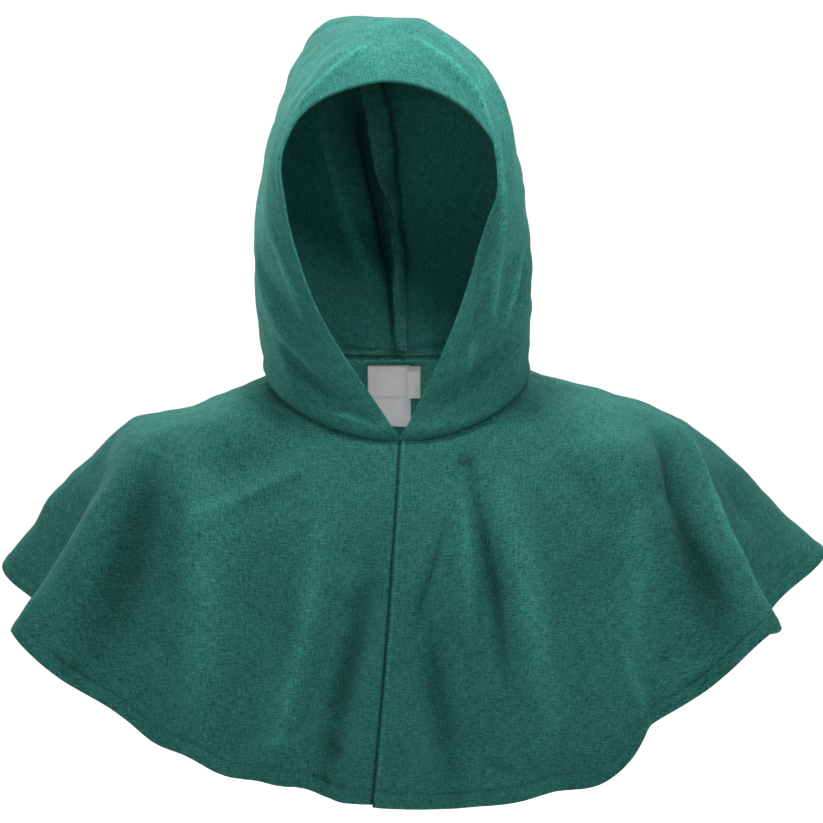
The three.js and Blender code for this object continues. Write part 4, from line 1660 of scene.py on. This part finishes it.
    def pressed_edge(
        self, panel: MantleShape, cloth: Sheet, ends: str, seamstress: Seamstress
    ) -> tuple[MeshData, MeshData]:
        """Build one panel's raw edge at a seam, pressed flat against the cloth.

        Args:
            panel: the panel.
            cloth: its outer side.
            ends: front or back.
            seamstress: draws the overlock.

        Returns:
            The edge and its threads.
        """
        gap = panel.from_front if ends == "front" else panel.from_back
        widths = np.linspace(self.sewing.panel_allowance, 0.8, 8)
        below_neck = panel.from_neck[:, 0] > 2.0
        keep = np.flatnonzero((panel.from_hem[:, 0] > self.sewing.mantle_hem + 2) & below_neck)
        cols = np.arange(gap.shape[1])
        order = slice(None) if ends == "front" else slice(None, None, -1)
        places = np.array([np.interp(widths, gap[i, order], cols[order]) for i in keep])
        points, normals = cloth.at(keep[:, None].astype(float), places)
        points, normals = points.transpose(1, 0, 2), normals.transpose(1, 0, 2)
        run = run_lengths(points[-1])
        seed = 51 + panel.side + (10 if ends == "front" else 20)
        curl = mix(0.3, 1.1, (widths / widths[0])[:, None] ** 2)
        curl = curl + 0.3 * Crumple(seed, 28).at(run, run * 0)[None, :]
        points = points - normals * (self.sewing.wall + np.maximum(curl, 0.25))[..., None]
        flat = np.stack(np.broadcast_arrays(widths[:, None], run[None, :]), axis=-1)
        return seamstress.raw_edge(points, flat, normals, self.sewing.wall, seed)


# ---- The labels ----


@dataclass
class Label:
    """A bare label of woven tape, sewn into the neck seam at the nape. It hangs a little off the cloth."""

    name: str
    node: str
    width: float
    length: float
    shift: float
    depth: float
    seed: int
    end_fold: float = 0.0
    fold_radius: float = 0.9
    steeper: float = 9.0
    wall: float = 0.45
    neck: NeckSeam = field(default_factory=NeckSeam)
    sewing: Sewing = field(default_factory=Sewing)

    def dress(self, dresser: Dresser, mantle: MantleShape) -> None:
        """Make the label.

        Args:
            dresser: puts it in place.
            mantle: a panel, for the slope of the cloth behind the label.
        """
        cloth_slope = math.radians(float(mantle.slope(np.array([180.0]), 0.0)[0]))
        slope = cloth_slope + math.radians(self.steeper)
        out = np.array([0.0, -math.sin(slope), -math.cos(slope)])
        down = np.array([0.0, math.cos(slope), -math.sin(slope)])
        start = self.shift - self.width / 2
        places, lifts = self.across_line()
        fall = np.linspace(0.0, self.length, 40)
        rows = []
        for run in fall:
            wave = 0.5 * Crumple(self.seed, 40).at(places, np.full_like(places, run)) * smooth(run / 12)
            curl = 0.9 * (run / self.length) ** 2
            across = start + places
            seam = self.neck.point(np.pi - np.arcsin(across / self.neck.half_width))
            top = seam + np.array([0.0, -math.sin(cloth_slope), -math.cos(cloth_slope)]) * self.depth
            push = self.sewing.gap + self.sewing.base_wall + run
            rows.append(top + down * push + out * (lifts * smooth(run / 6 + 0.3) + wave + curl)[:, None])
        points = np.array(rows)[::-1]
        fallen = fall[::-1]
        flat_run = run_lengths(points[-1])
        flat = np.stack(np.broadcast_arrays(flat_run[None, :], fallen[:, None]), axis=-1)
        band = Sheet(points, flat)
        band.flip = bool((band.normals() @ out).sum() < 0)
        data = rounded_solid(band, np.full(points.shape[:2], self.wall))
        piece = dresser.piece(self.name, data, Finish.TAPE, [self.node])

    def across_line(self) -> tuple[np.ndarray, np.ndarray]:
        """Draw the label's width, with its right end folded back over the front where it has one.

        Returns:
            Places across the label, and how far each stands off in front.
        """
        places = np.linspace(0, self.width, 44)
        lifts = np.zeros_like(places)
        if self.end_fold:
            turn = np.linspace(-90, 90, 9)[1:]
            radius = self.fold_radius
            bend = self.width + radius * np.cos(np.radians(turn))
            places = np.concatenate([places, bend, self.width - np.linspace(1.5, self.end_fold, 8)])
            back_lift = np.linspace(2 * radius, 2 * radius + 1.2, 8)
            lifts = np.concatenate([lifts, radius * (1 + np.sin(np.radians(turn))), back_lift])
        return places, lifts


# ---- Studio ----


@dataclass(frozen=True)
class SoftLight:
    """A square soft box that faces the hood: place and size in metres, power in watts."""

    name: str
    place: tuple[float, float, float]
    aim: tuple[float, float, float]
    size: float
    power: float
    spread: float = 180.0

    def add(self) -> None:
        """Put the light in the scene."""
        lamp = bpy.data.lights.new(self.name, "AREA")
        lamp.shape = "SQUARE"
        lamp.size = self.size
        lamp.energy = self.power
        lamp.spread = math.radians(self.spread)
        holder = bpy.data.objects.new(self.name, lamp)
        holder.location = self.place
        holder.rotation_euler = (Vector(self.aim) - Vector(self.place)).to_track_quat("-Z", "Y").to_euler()
        bpy.context.scene.collection.objects.link(holder)


LIGHTS = (
    SoftLight("front_overhead_box", (0.3, -1.0, 0.7), (0.0, 0.0, -0.3), 0.25, 3.3),
    SoftLight("right_overhead_box", (0.67, -0.39, 2.08), (0.0, 0.0, -0.3), 0.9, 2.6),
    SoftLight("left_box", (-1.5, -0.6, 0.3), (0.0, 0.0, -0.3), 0.4, 2.1),
    SoftLight("right_box", (1.5, -0.42, 0.2), (0.0, 0.0, -0.25), 0.4, 1.2),
    SoftLight("left_snoot", (-1.4, 0.75, 0.0), (-0.1, 0.0, -0.14), 0.2, 0.17, spread=16.0),
    SoftLight("right_snoot", (1.5, -0.2, 0.1), (0.1, 0.0, -0.12), 0.2, 0.07, spread=12.0),
    SoftLight("crown_box", (-0.03, -0.22, 0.42), (0.0, 0.0, -0.05), 0.1, 2.2),
    SoftLight("back_box", (0.0, 1.43, 1.75), (0.0, 0.0, -0.3), 1.4, 30.0),
    SoftLight("face_snoot", (-0.25, -1.1, -0.1), (0.06, 0.05, -0.1), 0.3, 0.012, spread=10.0),
    SoftLight("label_snoot", (0.0, -1.3, 0.12), (-0.005, 0.07, -0.3), 0.05, 0.0035, spread=4.0),
)


# Where the grey walls at the right, the left and the front begin and end, by direction.
WALLS = (("X", 0.8, 0.98), ("X", -0.8, -0.98), ("Y", -0.9, -0.99))


@dataclass(frozen=True)
class Studio:
    """The pale floor, the soft light and the camera at the photograph's angle (metres)."""

    floor_height: float = -1.05
    floor_size: float = 40.0
    target: tuple[float, float, float] = (0.0097, 0.0, -0.3252)
    distance: float = 3.0
    elevation: float = 2.0
    lens: float = 156.2
    top_light: float = 0.03
    wall_light: float = 0.2
    back_light: float = 1.05
    near_glow: float = 0.1
    far_glow: float = 0.9

    def floor(self) -> None:
        """Lay the floor."""
        half = self.floor_size / 2
        mesh = bpy.data.meshes.new("studio_floor")
        corners = [(-half, -half), (half, -half), (half, half), (-half, half)]
        mesh.from_pydata([(x, y, self.floor_height) for x, y in corners], [], [(0, 1, 2, 3)])
        material, tree, output = blank_material("matt_white_floor")
        place = add_node(tree, "ShaderNodeTexCoord").outputs["Object"]
        depth = add_node(tree, "ShaderNodeSeparateXYZ", {}, {0: place}).outputs["Y"]
        ends = {"From Min": 0.4, "From Max": 2.4, "To Min": self.near_glow, "To Max": self.far_glow}
        settings = {"interpolation_type": "SMOOTHSTEP", **ends}
        glow = add_node(tree, "ShaderNodeMapRange", settings, {"Value": depth}).outputs[0]
        shader = add_node(
            tree,
            "ShaderNodeBsdfPrincipled",
            {
                "Base Color": linear("#f6f6f6"),
                "Roughness": 0.9,
                "Specular IOR Level": 0.1,
                "Emission Color": linear("#ffffff"),
            },
            {"Emission Strength": glow},
        )
        tree.links.new(shader.outputs[0], output.inputs["Surface"])
        mesh.materials.append(material)
        floor = bpy.data.objects.new("studio_floor", mesh)
        bpy.context.scene.collection.objects.link(floor)

    def world(self) -> None:
        """Surround the scene with soft white light: a bright backdrop, grey walls and a dim ceiling."""
        world = bpy.data.worlds.new("studio")
        bpy.context.scene.world = world
        world.use_nodes = True
        tree = world.node_tree
        tree.nodes.clear()
        way = add_node(tree, "ShaderNodeTexCoord").outputs["Generated"]
        parts = add_node(tree, "ShaderNodeSeparateXYZ", {}, {0: way})
        ends = {"From Min": 0.3, "From Max": 0.95, "To Min": self.top_light, "To Max": self.back_light}
        strength = add_node(tree, "ShaderNodeMapRange", ends, {"Value": parts.outputs["Y"]}).outputs[0]
        for axis, start, end in WALLS:
            ends = {"From Min": start, "From Max": end, "To Min": 0.0, "To Max": self.wall_light}
            wall = add_node(tree, "ShaderNodeMapRange", ends, {"Value": parts.outputs[axis]}).outputs[0]
            both = {0: strength, 1: wall}
            strength = add_node(tree, "ShaderNodeMath", {"operation": "ADD"}, both).outputs[0]
        white = {"Color": linear("#ffffff")}
        background = add_node(tree, "ShaderNodeBackground", white, {"Strength": strength})
        output = add_node(tree, "ShaderNodeOutputWorld", {}, {"Surface": background.outputs[0]})
        tree.nodes.active = output

    def camera(self) -> None:
        """Set up the camera."""
        lift = math.radians(self.elevation)
        target = Vector(self.target)
        place = target + Vector((0.0, -math.cos(lift), math.sin(lift))) * self.distance
        data = bpy.data.cameras.new("camera")
        data.lens = self.lens
        data.sensor_width = 36.0
        data.clip_end = 100.0
        camera = bpy.data.objects.new("camera", data)
        camera.location = place
        camera.rotation_euler = (target - place).to_track_quat("-Z", "Y").to_euler()
        bpy.context.scene.collection.objects.link(camera)
        bpy.context.scene.camera = camera

    def set_up(self) -> None:
        """Put the floor, lights and camera in the scene."""
        self.floor()
        self.world()
        for light in LIGHTS:
            light.add()
        self.camera()
        bpy.context.scene.view_settings.view_transform = "Standard"
        bpy.context.scene.view_settings.look = "None"


# ---- The whole scene ----


def main() -> None:
    """Build the hood, the mantle and the labels over the frame, and set up the studio."""
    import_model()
    Studio().set_up()
    hood = Hood()
    hood.shape.build()
    dresser = Dresser(hood.shape.seat)
    seamstress = Seamstress()
    hood.dress(dresser, seamstress)
    mantle = Mantle()
    for panel in mantle.panels:
        panel.build()
    mantle.dress(dresser, seamstress)
    sewing = Sewing()
    care_depth = sewing.inside_layer + sewing.gap + sewing.base_wall + sewing.gap
    labels = (
        Label(
            "care_label_tape", "care_label", width=36.0, length=62.0, shift=-9.0, depth=care_depth, seed=71
        ),
        Label(
            "main_label_tape",
            "main_label",
            width=44.0,
            length=30.0,
            shift=-6.0,
            depth=care_depth + LABEL_STEP,
            seed=72,
            end_fold=10.0,
        ),
    )
    for label in labels:
        label.dress(dresser, mantle.panels[0])


if __name__ == "__main__":
    logging.basicConfig(level=logging.INFO, format="%(name)s: %(message)s")
    main()
